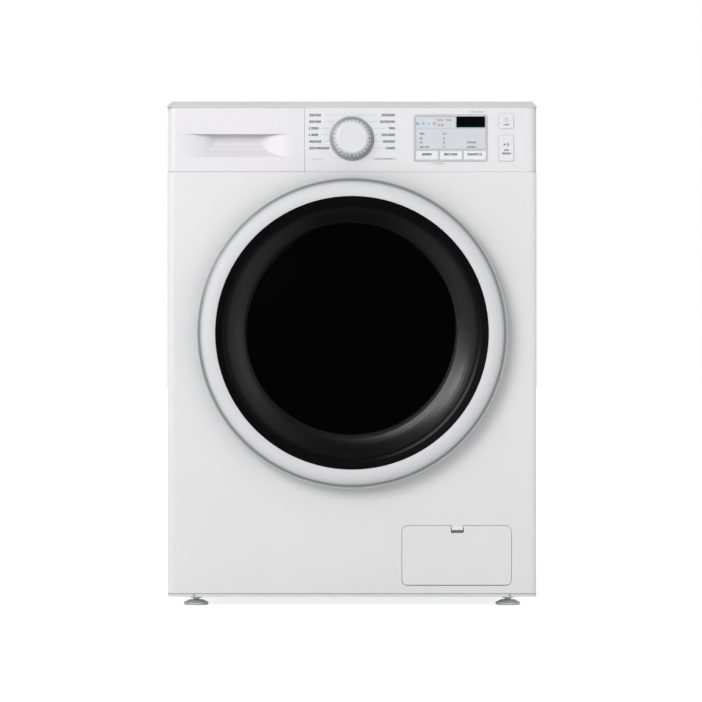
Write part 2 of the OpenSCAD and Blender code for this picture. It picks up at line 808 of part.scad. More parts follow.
module inlet_valve() color("#E8E8E4") {
  rear = back_d - 1;
  difference() {
    union() {
      block([valve_x - 22, valve_x + 22], [rear - 14, rear], [valve_z - 20, valve_z + 20]);
      bar(valve_x, valve_z, 17, rear - 26, rear - 13);
      bar(valve_x, valve_z, inlet_r + 3, rear - past, cabinet_d + 1);
      bar(valve_x, valve_z, inlet_r, cabinet_d, cabinet_d + rear_out);
      bar(valve_x, valve_z, inlet_hose_r + 3, rear - 44, rear - 25);
      for (s = [-1, 1]) post(valve_x + s * 11, rear - 34, 9, valve_z + 14, valve_z + 18);
    }
    bar(valve_x, valve_z, 9, rear, cabinet_d + rear_out + past);
    bar(valve_x, valve_z, inlet_hose_r + run, rear - 45, rear - 26);
  }
  block([valve_x - 20, valve_x + 20], [rear - 24, rear - 13], [valve_z + 10, valve_z + 24]);
}

// ---- tub, drum and drive ----

module inlet_run(r, d0, d1) bar(valve_x, valve_z, r, d0, d1);

module inside_hoses() color("#55585C") {
  // water from the valve to the dispenser
  difference() {
    inlet_run(inlet_hose_r, housing_d + housing_l - wall + seat, back_d - 27 - seat);
    inlet_run(inlet_hose_r - 2, housing_d, back_d);
  }
  // drain run from the pump to the rear
  difference() {
    drain_run(spigot_r + 3, 0);
    drain_run(spigot_r + run, past);
  }
}

drain_bend = 24;

// Hose of radius r from the pump's outlet round a bend to the rear
module drain_run(r, longer) {
  start = volute_d + 13;
  translate([drain_x - drain_bend, front_y + start + drain_bend, outlet_z]) rotate([0, 0, -90])
    rotate_extrude(angle = 90) translate([drain_bend, 0]) circle(r);
  bar(drain_x, outlet_z, r, start + drain_bend, back_d - 8 + longer);
  translate([cover_x + filter_r + 5 - longer, front_y + start, outlet_z]) rotate([0, 90, 0])
    cylinder(r = r, h = drain_x - drain_bend - cover_x - filter_r - 5 + longer);
}

spout_x = tray_x - 3;
spout_d = housing_d + 155;
spout_top = door_z + 222;
sump_z = door_z - 229;
pump_top = filter_z + 50;

// Corrugated sleeve about an upright axis, between two spigots
module sleeve(x, d, r, z0, z1, waves) {
  step = (z1 - z0 - 24) / (2 * waves);
  path = concat(
    [[r, z0], [r, z0 + 12]],
    [for (i = [0 : 2 * waves - 1]) [r + (i % 2 == 0 ? 5 : 0), z0 + 12 + (i + 0.5) * step]],
    [[r, z1 - 12], [r, z1]]
  );
  upright(x, d) polygon(strip(path, 2));
}

module tub_hoses() color("#3A3C3F") {
  sleeve(spout_x, spout_d, 18 + 1 + seat, spout_top - 14, housing_z - seat, 3);
  sleeve(cover_x, inlet_d, 16 + 1 + seat, pump_top - 12, sump_z + 6, 5);
}

module tub_cavity(d0, d1) bar(0, door_z, tub_in, d0, d1);

module tub_front() color(tub_grey) {
  difference() {
    union() {
      turned(0, door_z) {
        polygon(strip([
          [collar_r - tub_wall / 2, tub_front_d - 18], [collar_r - tub_wall / 2, tub_front_d + tub_wall / 2],
          [tub_out - tub_wall / 2, tub_front_d + tub_wall / 2], [tub_out - tub_wall / 2, seam_d]
        ], tub_wall));
        translate([tub_out - 1, seam_d - 6]) square([9, 6]);
      }
      post(spout_x, spout_d, 18, door_z + 120, spout_top);
      post(cover_x, inlet_d, 16, sump_z, door_z - 190);
      for (z = [-1 : 1]) turned(0, door_z) translate([tub_out - 1, tub_front_d + 74 + z * 42]) square([5, 3]);
    }
    tub_cavity(tub_front_d + tub_wall, seam_d + past);
    post(spout_x, spout_d, 15, door_z + 100, spout_top + past);
    post(cover_x, inlet_d, 13, sump_z - past, door_z - 170);
    slab(0, tub_front_d + tub_wall + past) translate([0, door_z - drum_r - drum_space / 2]) rrect(70, 13, 3);
  }
}

module tub_rear() color(tub_grey) {
  ribs = 18;
  wall_d = tub_back_d + tub_wall / 2;
  difference() {
    union() {
      turned(0, door_z) {
        polygon(strip([
          [tub_out - tub_wall / 2, seam_d], [tub_out - tub_wall / 2, wall_d], [hub_r - 4, wall_d]
        ], tub_wall));
        translate([tub_out - 1, seam_d]) square([9, 6]);
        translate([shaft_r + 6, tub_back_d]) square([hub_r - shaft_r - 6, hub_end_d - tub_back_d]);
        translate([tub_out - 16, tub_back_d]) square([13, 14]);
        translate([150, tub_back_d]) square([4, 14]);
      }
      for (i = [0 : ribs - 1])
        translate([0, front_y, door_z]) rotate([0, i * 360 / ribs, 0])
          translate([hub_r - 3, tub_back_d + 1, -1.5]) cube([tub_out - 10 - hub_r, 13, 3]);
      // lugs of the dampers, ears of the springs and lugs of the motor
      for (s = [-1, 1]) {
        block([s * damper_x - 13, s * damper_x + 13], [damper_d - 13, damper_d + 13], [lug_z, door_z - 150]);
        difference() {
          block(s > 0 ? [190, spring_x + 9] : [-spring_x - 9, -190], [spring_d - 9, spring_d + 9],
            [ear_z - 14, ear_z + 4]);
          block(s > 0 ? [spring_x - 15, spring_x + 30] : [-spring_x - 30, -spring_x + 15],
            [spring_d - 5, spring_d + 5], [ear_z - 20, ear_z + 20]);
        }
        bar(s * spring_x, ear_z, 3, spring_d - 6, spring_d + 6);
      }
      for (d = motor_lugs)
        block([-motor_x - 20, -motor_x + 20], [d, d + 14], [motor_z + motor_r + 8, door_z - 240]);
    }
    tub_cavity(seam_d - past, tub_back_d);
    bar(0, door_z, front_race_r + run, front_race_d, front_race_d + race_w);
    bar(0, door_z, front_race_r + run, tub_back_d - past, front_race_d + 1);
    bar(0, door_z, rear_race_r + run, rear_race_d, hub_end_d + past);
  }
}

module bearings() color(steel) {
  for (b = [[front_race_r, front_race_d], [rear_race_r, rear_race_d]]) {
    mid = (b[0] + shaft_r) / 2;
    turned(0, door_z) difference() {
      translate([shaft_r + run, b[1]]) square([b[0] - shaft_r - run, race_w]);
      for (d = [b[1], b[1] + race_w]) translate([mid - 3, d - 1.5]) square([6, 3]);
    }
  }
}

module counterweights() color("#9B9A96") {
  // ring round the mouth, open at the bottom
  open = 110;
  thick = 34;
  translate([0, front_y, door_z]) rotate([-90, 0, 0]) rotate([0, 0, 90 + open / 2])
    rotate_extrude(angle = 360 - open) polygon([
      [collar_r + 8, tub_front_d], [collar_r + 8, tub_front_d - thick + 6], [collar_r + 14, tub_front_d - thick],
      [tub_out - 10, tub_front_d - thick], [tub_out - 4, tub_front_d - thick + 6], [tub_out - 4, tub_front_d]
    ]);
  // block on top of the tub
  difference() {
    slab(seam_d + 20, tub_back_d - 10) polygon([
      [-60, door_z + 200], [-60, door_z + 296], [-48, door_z + 308], [138, door_z + 308], [150, door_z + 296],
      [150, door_z + 200]
    ]);
    bar(0, door_z, tub_out + seat, seam_d, tub_back_d);
  }
}

module heater() color(grey) {
  z = door_z - drum_r - drum_space / 2;
  gauge = 4;
  gap = 22;
  back = tub_front_d + 290;
  slab(tub_front_d - 3, tub_front_d + tub_wall + 2) translate([0, z]) rrect(69.4, 12.4, 2.7);
  for (s = [-1, 1]) {
    bar(s * gap, z, gauge, tub_front_d, back);
    bar(s * gap, z, 2.5, tub_front_d - 16, tub_front_d);
  }
  translate([0, front_y + back, z]) rotate_extrude(angle = 180) translate([gap, 0]) circle(gauge);
}

function drum_path() =
  let (t = drum_sheet / 2, r = drum_r - t, f = drum_front + t, b = drum_back - t)
  concat(
    [[mouth_r + 3, f + 7], [mouth_r + 1, f + 4], [mouth_r + 1, f + 2], [mouth_r + 3, f], [r - 34, f], [r - 8, f + 6],
      [r, f + 14]],
    [for (i = [1, 2], p = [[0, -6], [-2.5, -3], [-2.5, 3], [0, 6]])
      [r + p[0], drum_front + drum_l * (i == 1 ? 0.14 : 0.86) + p[1]]],
    [[r, b - 8], [r - 8, b], [shaft_r + 12, b]]
  );

module drum_shell() color(steel) {
  sectors = 3;
  columns = 5;
  rows = 6;
  difference() {
    turned(0, door_z) polygon(strip(drum_path(), drum_sheet));
    for (s = [0 : sectors - 1], c = [0 : columns - 1], k = [0 : rows - 1])
      translate([0, front_y + drum_front + drum_l * (0.22 + 0.1 * k + (c % 2) * 0.05), door_z])
        rotate([0, 90 + s * 120 + 60 + (c - (columns - 1) / 2) * 17, 0]) translate([0, 0, drum_r - 6])
          cylinder(r = hole_r, h = 12);
  }
}

module drum_lifters() color("#E6E7E8") {
  skin = drum_r - drum_sheet - seat;
  base = 32;
  crest = 11;
  tip = skin - lifter_h + crest;
  for (i = [0 : 2])
    intersection() {
      translate([0, 0, door_z]) rotate([0, 90 + i * 120, 0]) translate([0, 0, -door_z])
        slab(drum_front + 62, drum_back - 58) translate([0, door_z]) {
          polygon([[-base, -drum_r], [base, -drum_r], [base - 4, -skin + 8], [crest * 0.96, -tip - 4],
            [-crest * 0.96, -tip - 4], [4 - base, -skin + 8]]);
          translate([0, -tip]) circle(crest);
        }
      bar(0, door_z, skin, drum_front, drum_back);
    }
}

module drum_spider() color("#C8CACB") {
  reach = drum_r - 16;
  front = drum_back + 0.1;
  difference() {
    union() {
      bar(0, door_z, 36, front, front + 15);
      for (i = [0 : 2])
        translate([0, 0, door_z]) rotate([0, 30 + i * 120, 0]) translate([0, 0, -door_z]) {
          slab(front, front + 6) translate([0, door_z])
            polygon([[0, -24], [reach, -14], [reach, 14], [0, 24]]);
          slab(front, front + 13) translate([0, door_z]) polygon([[0, -5], [reach - 20, -3], [reach - 20, 3], [0, 5]]);
        }
    }
    bar(0, door_z, shaft_r + run, front - past, front + 20);
  }
}

module drum_shaft() color(steel) {
  front = drum_back + 0.2;
  turned(0, door_z) polygon([
    [0, front], [shaft_r, front], [shaft_r, front + 15.2], [shaft_r + 5, front + 15.2],
    [shaft_r + 5, front_race_d - seat], [shaft_r, front_race_d - seat], [shaft_r, shaft_end_d - 1],
    [shaft_r - 1, shaft_end_d], [0, shaft_end_d]
  ]);
}

// Rim profile with the grooves of a ribbed belt
module grooved_rim(r, width, depth) {
  grooves = 4;
  pitch = (width - 4) / grooves;
  difference() {
    translate([r - depth, 0]) square([depth, width]);
    for (i = [0 : grooves - 1])
      polygon([for (k = [[0, 0], [1, -pitch * 0.4], [1, pitch * 0.4]])
        [r - 2 + 2.5 * k[0], 2 + (i + 0.5) * pitch + k[1]]]);
  }
}

module drum_pulley() color(silver) {
  spokes = 6;
  mid = pulley_d + pulley_w / 2;
  difference() {
    union() {
      turned(0, door_z) {
        translate([0, pulley_d]) grooved_rim(pulley_r, pulley_w, 6);
        translate([0, pulley_d - 3]) square([27, pulley_w + 4]);
      }
      for (i = [0 : spokes - 1])
        translate([0, 0, door_z]) rotate([0, i * 360 / spokes, 0]) translate([0, 0, -door_z])
          slab(mid - 3, mid + 3) translate([0, door_z])
            polygon([[20, -11], [pulley_r - 4, -7], [pulley_r - 4, 7], [20, 11]]);
    }
    bar(0, door_z, shaft_r + run, pulley_d - 5, pulley_d + pulley_w + 5);
  }
}

// Loop round both pulleys, seen from the front
module belt_loop(grow) {
  big = pulley_r + grow;
  small = motor_pulley_r + grow;
  to = [-motor_x, motor_z - door_z];
  way = atan2(to[1], to[0]);
  lean = acos((big - small) / norm(to));
  polygon(concat(
    arc([0, 0], big, way + lean, way + 360 - lean, 64),
    arc(to, small, way - lean, way + lean, 16)
  ));
}

module drive_belt() color(dark) {
  slab(pulley_d + 1, pulley_d + pulley_w - 1) translate([0, door_z]) difference() {
    belt_loop(seat + belt_t);
    belt_loop(seat);
  }
}

motor_front = pulley_d - 14 - motor_l;
motor_lugs = [motor_front + 14, motor_front + 60];

module drive_motor() color(zinc) {
  difference() {
    union() {
      turned(-motor_x, motor_z) polygon([
        [0, motor_front], [motor_r - 14, motor_front], [motor_r - 4, motor_front + 8], [motor_r - 4, motor_front + 22],
        [motor_r, motor_front + 24], [motor_r, motor_front + motor_l - 24], [motor_r - 4, motor_front + motor_l - 22],
        [motor_r - 4, motor_front + motor_l - 8], [motor_r - 14, motor_front + motor_l], [0, motor_front + motor_l]
      ]);
      for (d = motor_lugs) block([-motor_x - 14, -motor_x + 14], [d, d + 14], [motor_z, motor_z + motor_r + 8]);
    }
    bar(-motor_x, motor_z, 6 + run, motor_front + motor_l - 30, motor_front + motor_l + past);
    for (i = [0 : 7])
      translate([-motor_x, front_y + motor_front - past, motor_z]) rotate([0, i * 45, 0]) translate([24, 0, 0])
        rotate([-90, 0, 0]) cylinder(r = 5, h = 8);
  }
}

module motor_pulley() color(steel) {
  difference() {
    turned(-motor_x, motor_z) {
      translate([0, pulley_d]) grooved_rim(motor_pulley_r, pulley_w, motor_pulley_r);
      translate([0, motor_front + motor_l - 28]) square([6, pulley_d - motor_front - motor_l + 28 + pulley_w + 3]);
    }
  }
}

// ---- suspension ----

// Rings of a coil spring with a hook at each end, each as [centre, outward, sideways]
function spring_rings(z0, z1) =
  let (seg = 12, hook = 8, reach = 210, steps = spring_turns * seg, rise = (z1 - z0) / steps)
  concat(
    [for (i = [0 : hook]) let (a = -reach + reach * i / hook)
      [[spring_r * cos(a), 0, z0 + spring_r * sin(a)], [cos(a), 0, sin(a)], [0, 1, 0]]],
    [for (i = [1 : steps - 1]) let (a = 360 * i / seg)
      [[spring_r * cos(a), spring_r * sin(a), z0 + rise * i], [cos(a), sin(a), 0], [0, 0, -1]]],
    [for (i = [0 : hook]) let (a = reach * i / hook)
      [[spring_r * cos(a), 0, z1 + spring_r * sin(a)], [cos(a), 0, sin(a)], [0, 1, 0]]]
  );

module swept(rings, r, sides) {
  n = len(rings);
  points = [for (g = rings, k = [0 : sides - 1]) let (a = 360 * k / sides) g[0] + r * (cos(a) * g[1] + sin(a) * g[2])];
  faces = concat(
    [[for (k = [0 : sides - 1]) k]],
    [for (i = [0 : n - 2], k = [0 : sides - 1])
      [i * sides + k, (i + 1) * sides + k, (i + 1) * sides + (k + 1) % sides, i * sides + (k + 1) % sides]],
    [[for (k = [sides - 1 : -1 : 0]) (n - 1) * sides + k]]
  );
  polyhedron(points = points, faces = faces, convexity = 10);
}

module suspension_springs() color(steel) {
  for (s = [-1, 1])
    translate([s * spring_x, front_y + spring_d, 0]) swept(spring_rings(spring_low, spring_top), wire_r, 6);
}

damper_top = damper_foot + 116;

module damper_cylinders() color(dark) {
  for (s = [-1, 1]) {
    upright(s * damper_x, damper_d) polygon([
      [0, damper_foot], [damper_r + 2, damper_foot], [damper_r + 2, damper_foot + 10], [damper_r, damper_foot + 14],
      [damper_r, damper_top - 6], [damper_r + 1.5, damper_top - 6], [damper_r + 1.5, damper_top],
      [damper_r - 3, damper_top], [damper_r - 3, damper_foot + 16], [0, damper_foot + 16]
    ]);
  }
}

module damper_rods() color(steel) {
  piston = damper_foot + 56;
  for (s = [-1, 1]) {
    upright(s * damper_x, damper_d) polygon([
      [0, piston], [damper_r - 3 - seat, piston], [damper_r - 3 - seat, piston + 18], [6, piston + 18],
      [6, lug_z - 12], [11, lug_z - 10], [11, lug_z], [0, lug_z]
    ]);
  }
}

// ---- door ----

bowl_step = door_gap + 2.5 + glass_t;
cone_d = 16;
cone_run = 10;
function cone_at(d) = bowl_r + cone_run * (cone_d - d) / (cone_d + door_gap);

module door_gasket() color("#8E9194") {
  t = 3;
  inside = mouth_r - seat - t;
  outside = mouth_r + sheet + seat;
  fold = mouth_r - 8;
  tip_d = 9.5;
  // bead round the panel's lip
  turned(0, door_z) polygon([
    [inside, dish_d + sheet + 3], [inside + t, dish_d + sheet + 3], [inside + t, lip_d + seat],
    [outside, lip_d + seat], [outside, dish_d + 5], [outside + 3.5, dish_d + 5], [outside + 3.5, lip_d + 4],
    [inside, lip_d + 4]
  ]);
  // soft lip against the bowl glass
  turned(0, door_z) polygon(strip([
    [inside + 1.5, lip_d - 8], [fold - 2, tip_d + 2], [cone_at(tip_d) + 4, tip_d],
    [cone_at(tip_d) + 1.2, tip_d]
  ], 2.4));
  // folds between the panel and the tub's collar
  turned(0, door_z) polygon(strip([
    [inside + t / 2, lip_d + 2], [inside + t / 2, lip_d + 8], [collar_r + 1, lip_d + 10],
    [collar_r + 1, lip_d + 17], [fold, lip_d + 20], [fold, tub_front_d - 26],
    [collar_r + seat + t / 2, tub_front_d - 22], [collar_r + seat + t / 2, tub_front_d - 4]
  ], t));
}

crest_r = 18;

module door_outer_ring() color(pale) {
  turned(0, door_z) intersection() {
    translate([rim_r + 8, crest_r - door_out]) circle(crest_r);
    translate([rim_r + seat, -door_out]) square([ring_r - rim_r - seat, door_out - grip_gap - 4]);
  }
}

module door_trim_ring() color(silver) {
  width = door_r - ring_r - 0.2;
  turned(0, door_z) intersection() {
    translate([ring_r + 0.2, -grip_gap - 3]) circle(width);
    translate([ring_r + 0.2, -grip_gap - 3 - width]) square([width, width + 3]);
  }
}

// Front line of the pane from its edge to its middle
function pane_line(t) =
  let (rim_d = -door_out + 2, low = -bowl_step - 3.2)
  concat(
    [[rim_r - t, rim_d + t], [hollow_r + 4, rim_d + t + 1.5]],
    [for (i = [0 : 8]) let (u = i / 8)
      [hollow_r + (clear_r - hollow_r) * u, rim_d + t + 3 + (low - rim_d - 3) * (1 - pow(1 - u, 1.8))]],
    [for (i = [1 : 5]) let (u = i / 5) [clear_r * (1 - u), low + t - 7 * (1 - pow(1 - u, 2))]]
  );

module door_pane() color(dark) {
  t = 3;
  front = pane_line(0);
  back = pane_line(t);
  turned(0, door_z) polygon(concat(
    [[rim_r, -grip_gap - 4]], front, [for (i = [len(back) - 1 : -1 : 0]) back[i]], [[rim_r - t, -grip_gap - 4]]
  ));
}

module door_bowl() color("#5A6266") {
  t = glass_t;
  h = t / 2;
  flange = -door_gap - 2.2 - h;
  turned(0, door_z) intersection() {
    polygon(strip(concat(
      [[bowl_r + 21, flange], [cone_at(-door_gap) - h, flange], [cone_at(-door_gap) - h, -door_gap],
        [bowl_r - h, cone_d], [bowl_r - h - 6, bowl_d * 0.6]],
      arc([bowl_r - 38, bowl_d - 30], 28 - h, 12, 84, 5),
      [[0, bowl_d - h]]
    ), t));
    translate([0, -bowl_d]) square([2 * bowl_r, 2 * bowl_d]);
  }
}

module door_inner_frame() color("#C9CBCD") {
  t = 2;
  difference() {
    union() {
      turned(0, door_z) polygon([
        [cone_at(-door_gap) + 2, -door_gap - t], [frame_r - t, -door_gap - t], [frame_r - t, -grip_gap - 4],
        [ring_r - 1, -grip_gap - 4], [ring_r - 1, -grip_gap], [frame_r, -grip_gap], [frame_r, -door_gap],
        [cone_at(-door_gap) + 2, -door_gap]
      ]);
      turned(0, door_z) translate([bowl_r + 22, -bowl_step - 0.6]) square([3, bowl_step - door_gap]);
      for (s = [-1, 1]) block([latch_x - 6, latch_x + 6], [-16, -door_gap - 1],
        [door_z + s * 10.5 - 1.5, door_z + s * 10.5 + 1.5]);
    }
    slab(-door_gap - t - past, 0) translate([latch_x - 2, door_z]) rrect(18, 18, 2);
    post(latch_x, latch_d, 2 + run, door_z - 13, door_z + 13);
  }
}

module hinge_leaf() color(zinc) {
  tall = 24;
  difference() {
    union() {
      post(-hinge_x, -hinge_out, knuckle_r, door_z - tall, door_z + tall);
      block([-hinge_x - 1, -hinge_x + 24], [-grip_gap, -grip_gap + 3.5], [door_z - tall, door_z + tall]);
    }
    post(-hinge_x, -hinge_out, pin_r + run, door_z - tall - past, door_z + tall + past);
  }
}

module hinge_bracket() color(zinc) {
  tall = 20;
  low = 24.5;
  difference() {
    union() {
      for (s = [-1, 1]) {
        z = s > 0 ? door_z + low : door_z - low - tall;
        post(-hinge_x, -hinge_out, knuckle_r, z, z + tall);
        plan_slab(z + 0.5, z + tall - 0.5) polygon([
          [-hinge_x - 2, -hinge_out + 2.6], [-hinge_x + 3, -hinge_out - 2.6],
          [-hinge_x + 29, dish_d - 1.5], [-hinge_x + 22.5, dish_d - 1.5]
        ]);
      }
      block([-hinge_x + 20, -hinge_x + 48], [dish_d - 3, dish_d], [door_z - 56, door_z + 56]);
    }
    hinge_holes(2.5, 0, dish_d + past);
  }
  post(-hinge_x, -hinge_out, pin_r, door_z - low - tall - 2, door_z + low + tall + 2);
}

latch_d = -11;

module latch_hook() color(zinc) {
  half = 4.5;
  difference() {
    union() {
      post(latch_x, latch_d, 5, door_z - half, door_z + half);
      plan_slab(door_z - half, door_z + half) translate([latch_x, 0]) polygon([
        [-4, latch_d], [4, latch_d], [4, 15], [9, 18], [9, 21], [4, 26], [-1, 26], [-4, 22]
      ]);
      post(latch_x, latch_d, 2, door_z - 12, door_z + 12);
    }
  }
}

module door_lock() color(dark) {
  back = dish_d + sheet;
  difference() {
    block([latch_x - 14, latch_x + 26], [back, back + 24], [door_z - 40, door_z + 40]);
    block([latch_x - 12, latch_x + 13], [back - past, back + 21], [door_z - 8, door_z + 8]);
    block([latch_x - 14 - past, latch_x - 8], [back + 12, back + 30], [door_z - 41, door_z - 12]);
  }
}

// ---- drain ----

module drain_pump() color("#4A4D50") {
  shell = filter_r + 3;
  difference() {
    union() {
      bar(cover_x, filter_z, shell, filter_front, volute_d + 26);
      bar(cover_x, filter_z, 27, volute_d + 25, volute_d + 84);
      post(cover_x, inlet_d, 16, filter_z, pump_top);
      translate([cover_x, front_y + volute_d + 13, outlet_z]) rotate([0, 90, 0])
        cylinder(r = spigot_r, h = drain_x - drain_bend - 2 - cover_x);
      for (d = [30, volute_d]) block([cover_x - 16, cover_x + 16], [d, d + 10], [floor_z + 2.5, filter_z - 20]);
    }
    bar(cover_x, filter_z, filter_r, filter_front - past, volute_d - 8);
    bar(cover_x, filter_z, 12, volute_d - 9, volute_d);
    bar(cover_x, filter_z, 25, volute_d - 4, volute_d + 22);
    bar(cover_x, filter_z, 3 + run, volute_d + 20, volute_d + 50);
    post(cover_x, inlet_d, 13, filter_z, pump_top + past);
    translate([cover_x + 10, front_y + volute_d + 13, outlet_z]) rotate([0, 90, 0])
      cylinder(r = spigot_r - 2.5, h = drain_x - 20 - cover_x);
  }
}

module pump_impeller() color(pale) {
  blades = 6;
  difference() {
    union() {
      bar(cover_x, filter_z, 8, volute_d, volute_d + 18);
      bar(cover_x, filter_z, 22, volute_d + 16, volute_d + 18);
      bar(cover_x, filter_z, 3, volute_d + 17, volute_d + 48);
      for (i = [0 : blades - 1])
        translate([cover_x, front_y + volute_d + 2, filter_z]) rotate([0, i * 360 / blades, 0])
          translate([5, 0, -1]) cube([17, 15, 2]);
    }
  }
}

module pump_filter() color("#DADCDE") {
  r = filter_r - seat;
  difference() {
    union() {
      bar(cover_x, filter_z, r, filter_front, filter_front + 16);
      bar(cover_x, filter_z, r - 6, filter_front + 15, inlet_d - 24);
      slab(filter_front - 5, filter_front + 1) translate([cover_x, filter_z]) rrect(2 * r - 6, 9, 4);
    }
    bar(cover_x, filter_z, r - 9, filter_front + 18, inlet_d);
    for (i = [0 : 5])
      translate([cover_x, front_y + filter_front + 24, filter_z]) rotate([0, i * 60, 0])
        translate([10, 0, -4]) cube([30, inlet_d - filter_front - 60, 8]);
  }
}

module filter_surround() color(grey) {
  t = 2;
  back = filter_front - 1;
  ledge = cover_t + seat;
  difference() {
    slab(sheet, back) cover_outline(cover_gap + t + 3);
    slab(0, ledge) cover_outline(cover_gap);
    slab(0, back - t) cover_outline(-4);
    // room for the cover's lower part, which swings in as the cover tips
    slab(0, back + past) intersection() {
      cover_outline(cover_gap);
      translate([cover_x - cover_w, cover_z - 10]) square([2 * cover_w, cover_axis_z - cover_z + 12.5]);
    }
    bar(cover_x, filter_z, filter_r + 3 + seat, 0, back + past);
    translate([cover_x, front_y + cover_axis_d, cover_axis_z]) rotate([0, 90, 0])
      cylinder(r = cover_pin_r + run, h = cover_w + 2 * cover_gap + 5, center = true);
  }
  // catch behind the slot in the cover's upper edge
  block([cover_x - 8, cover_x + 10.4], [ledge - 2, ledge + 4], [cover_z + cover_h - 7, cover_z + cover_h + 1]);
}

module filter_cover() color(pale) {
  slot = [21, 12];
  difference() {
    union() {
      slab(0, cover_t) cover_outline(0);
      translate([cover_x, front_y + cover_axis_d, cover_axis_z]) rotate([0, 90, 0])
        cylinder(r = cover_pin_r, h = cover_w + 2 * cover_gap + 4, center = true);
    }
    slab(-past, cover_t + past) translate([cover_x + 1.2, cover_z + cover_h - slot[1] / 2 + 3])
      rrect(slot[0], slot[1] + 6, 2);
    side_slab(cover_x - cover_w, cover_x + cover_w)
      polygon([[-past, cover_z - past], [tip_bevel + past, cover_z - past], [-past, cover_z + tip_bevel + past]]);
  }
}

// ---- rear ----

module rear_fittings() color(dark) {
  // drain spigot
  difference() {
    union() {
      bar(drain_x, outlet_z, spigot_r, back_d - 28, cabinet_d + rear_out);
      bar(drain_x, outlet_z, spigot_r + 7, cabinet_d, cabinet_d + 3);
    }
    bar(drain_x, outlet_z, spigot_r - 2.5, back_d - 29, cabinet_d + rear_out + past);
  }
  // gland for the mains lead
  turned(-half_w + 70, valve_z - 60) polygon([
    [4.5, back_d - 6], [11, back_d - 6], [11, back_d - 1], [9, back_d - 1], [9, cabinet_d], [14, cabinet_d],
    [14, cabinet_d + 3], [8, cabinet_d + 5], [7, cabinet_d + 16], [4.5, cabinet_d + 16]
  ]);
}

module transit_caps() color("#3B3D40") {
  for (x = [-1, 1], z = [-1, 1]) {
    bar(x * transit_x, door_z + z * transit_dz, transit_r - run, back_d - 3, cabinet_d + 1);
    bar(x * transit_x, door_z + z * transit_dz, transit_r + 3, cabinet_d, cabinet_d + 2.4);
  }
}

module screw(x, z, d) {
  bar(x, z, 2, d - 7, d + 0.5);
  difference() {
    bar(x, z, 4.2, d, d + 2.2);
    for (a = [0, 90])
      translate([x, front_y + d + 2.2, z]) rotate([0, a, 0]) cube([5, 2.2, 0.9], center = true);
  }
}

module panel_screws() color(steel) {
  for (p = cover_screws) screw(p[0], p[1], cabinet_d + sheet);
  for (p = edge_screws) screw(p[0], p[1], cabinet_d);
}

left_side_panel();
right_side_panel();
front_panel();
top_cover();
rear_panel();
service_cover();
base_frame();
levelling_feet();
top_frame();
console_panel();
display_frame();
display_window();
option_key_left();
option_key_middle();
option_key_right();
power_button();
start_button();
program_knob();
control_board();
drawer_front();
detergent_drawer();
siphon_insert();
dispenser_housing();
inlet_valve();
inside_hoses();
tub_hoses();
tub_front();
tub_rear();
counterweights();
heater();
drum_shell();
drum_lifters();
drum_spider();
drum_shaft();
bearings();
drum_pulley();
drive_belt();
drive_motor();
motor_pulley();
suspension_springs();
damper_cylinders();
damper_rods();
door_gasket();
door_outer_ring();
door_trim_ring();
door_pane();
door_bowl();
door_inner_frame();
hinge_leaf();
hinge_bracket();
latch_hook();
door_lock();
drain_pump();
pump_impeller();
pump_filter();
filter_surround();
filter_cover();
rear_fittings();
transit_caps();
panel_screws();
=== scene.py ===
"""Front load washing machine: finishes, print, rubber parts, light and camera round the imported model."""
import logging
import math
from collections.abc import Iterable, Iterator, Mapping, Sequence
from dataclasses import dataclass, field
from enum import Enum
from typing import Any

import bmesh
import bpy
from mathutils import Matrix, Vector


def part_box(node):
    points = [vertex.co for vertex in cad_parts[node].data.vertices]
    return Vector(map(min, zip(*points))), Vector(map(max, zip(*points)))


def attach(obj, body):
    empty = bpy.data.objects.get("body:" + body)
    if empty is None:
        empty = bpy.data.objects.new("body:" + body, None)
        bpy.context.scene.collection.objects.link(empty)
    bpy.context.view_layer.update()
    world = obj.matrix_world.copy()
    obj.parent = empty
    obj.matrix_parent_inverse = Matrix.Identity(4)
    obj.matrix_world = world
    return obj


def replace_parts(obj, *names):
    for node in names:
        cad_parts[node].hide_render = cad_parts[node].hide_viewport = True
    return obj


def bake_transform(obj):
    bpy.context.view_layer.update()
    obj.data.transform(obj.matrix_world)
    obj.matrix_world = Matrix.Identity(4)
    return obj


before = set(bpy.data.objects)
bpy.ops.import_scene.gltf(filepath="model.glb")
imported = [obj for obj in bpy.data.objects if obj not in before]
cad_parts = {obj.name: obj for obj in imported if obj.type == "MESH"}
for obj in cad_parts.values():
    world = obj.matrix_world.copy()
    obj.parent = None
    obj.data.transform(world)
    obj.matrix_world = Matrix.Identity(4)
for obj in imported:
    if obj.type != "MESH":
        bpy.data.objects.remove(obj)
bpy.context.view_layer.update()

log = logging.getLogger("washing_machine")

Tree = bpy.types.NodeTree
Socket = bpy.types.NodeSocket
# Two lengths in millimetres, such as x and z, or radius and depth.
Point = tuple[float, float]
# Lines of print: what each one says and how long it is in millimetres.
Column = tuple[tuple[str, float], ...]

# Where the front panel's face stands, in the frame's metres.
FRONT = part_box("front_panel")[0].y
# How far print stands proud of its surface, and how far it reaches into it, in millimetres.
INK_TOP = 0.04
INK_ROOT = 0.1
# Height of a figure as a share of its type size.
FIGURE_SHARE = 0.73
# How far inwards and backwards a rounded rim is cut, as a share of its width.
RIM_CUT = 0.3


def at(x: float, depth: float, z: float) -> Vector:
    """Turns millimetres, with depth counted backwards from the front panel, into the frame's metres."""
    return Vector((x / 1000, FRONT + depth / 1000, z / 1000))


def middle(node: str) -> tuple[float, float]:
    """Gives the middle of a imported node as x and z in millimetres."""
    low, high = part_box(node)
    return 500 * (low.x + high.x), 500 * (low.z + high.z)


def face(node: str) -> float:
    """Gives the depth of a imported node's foremost face in millimetres."""
    return 1000 * (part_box(node)[0].y - FRONT)


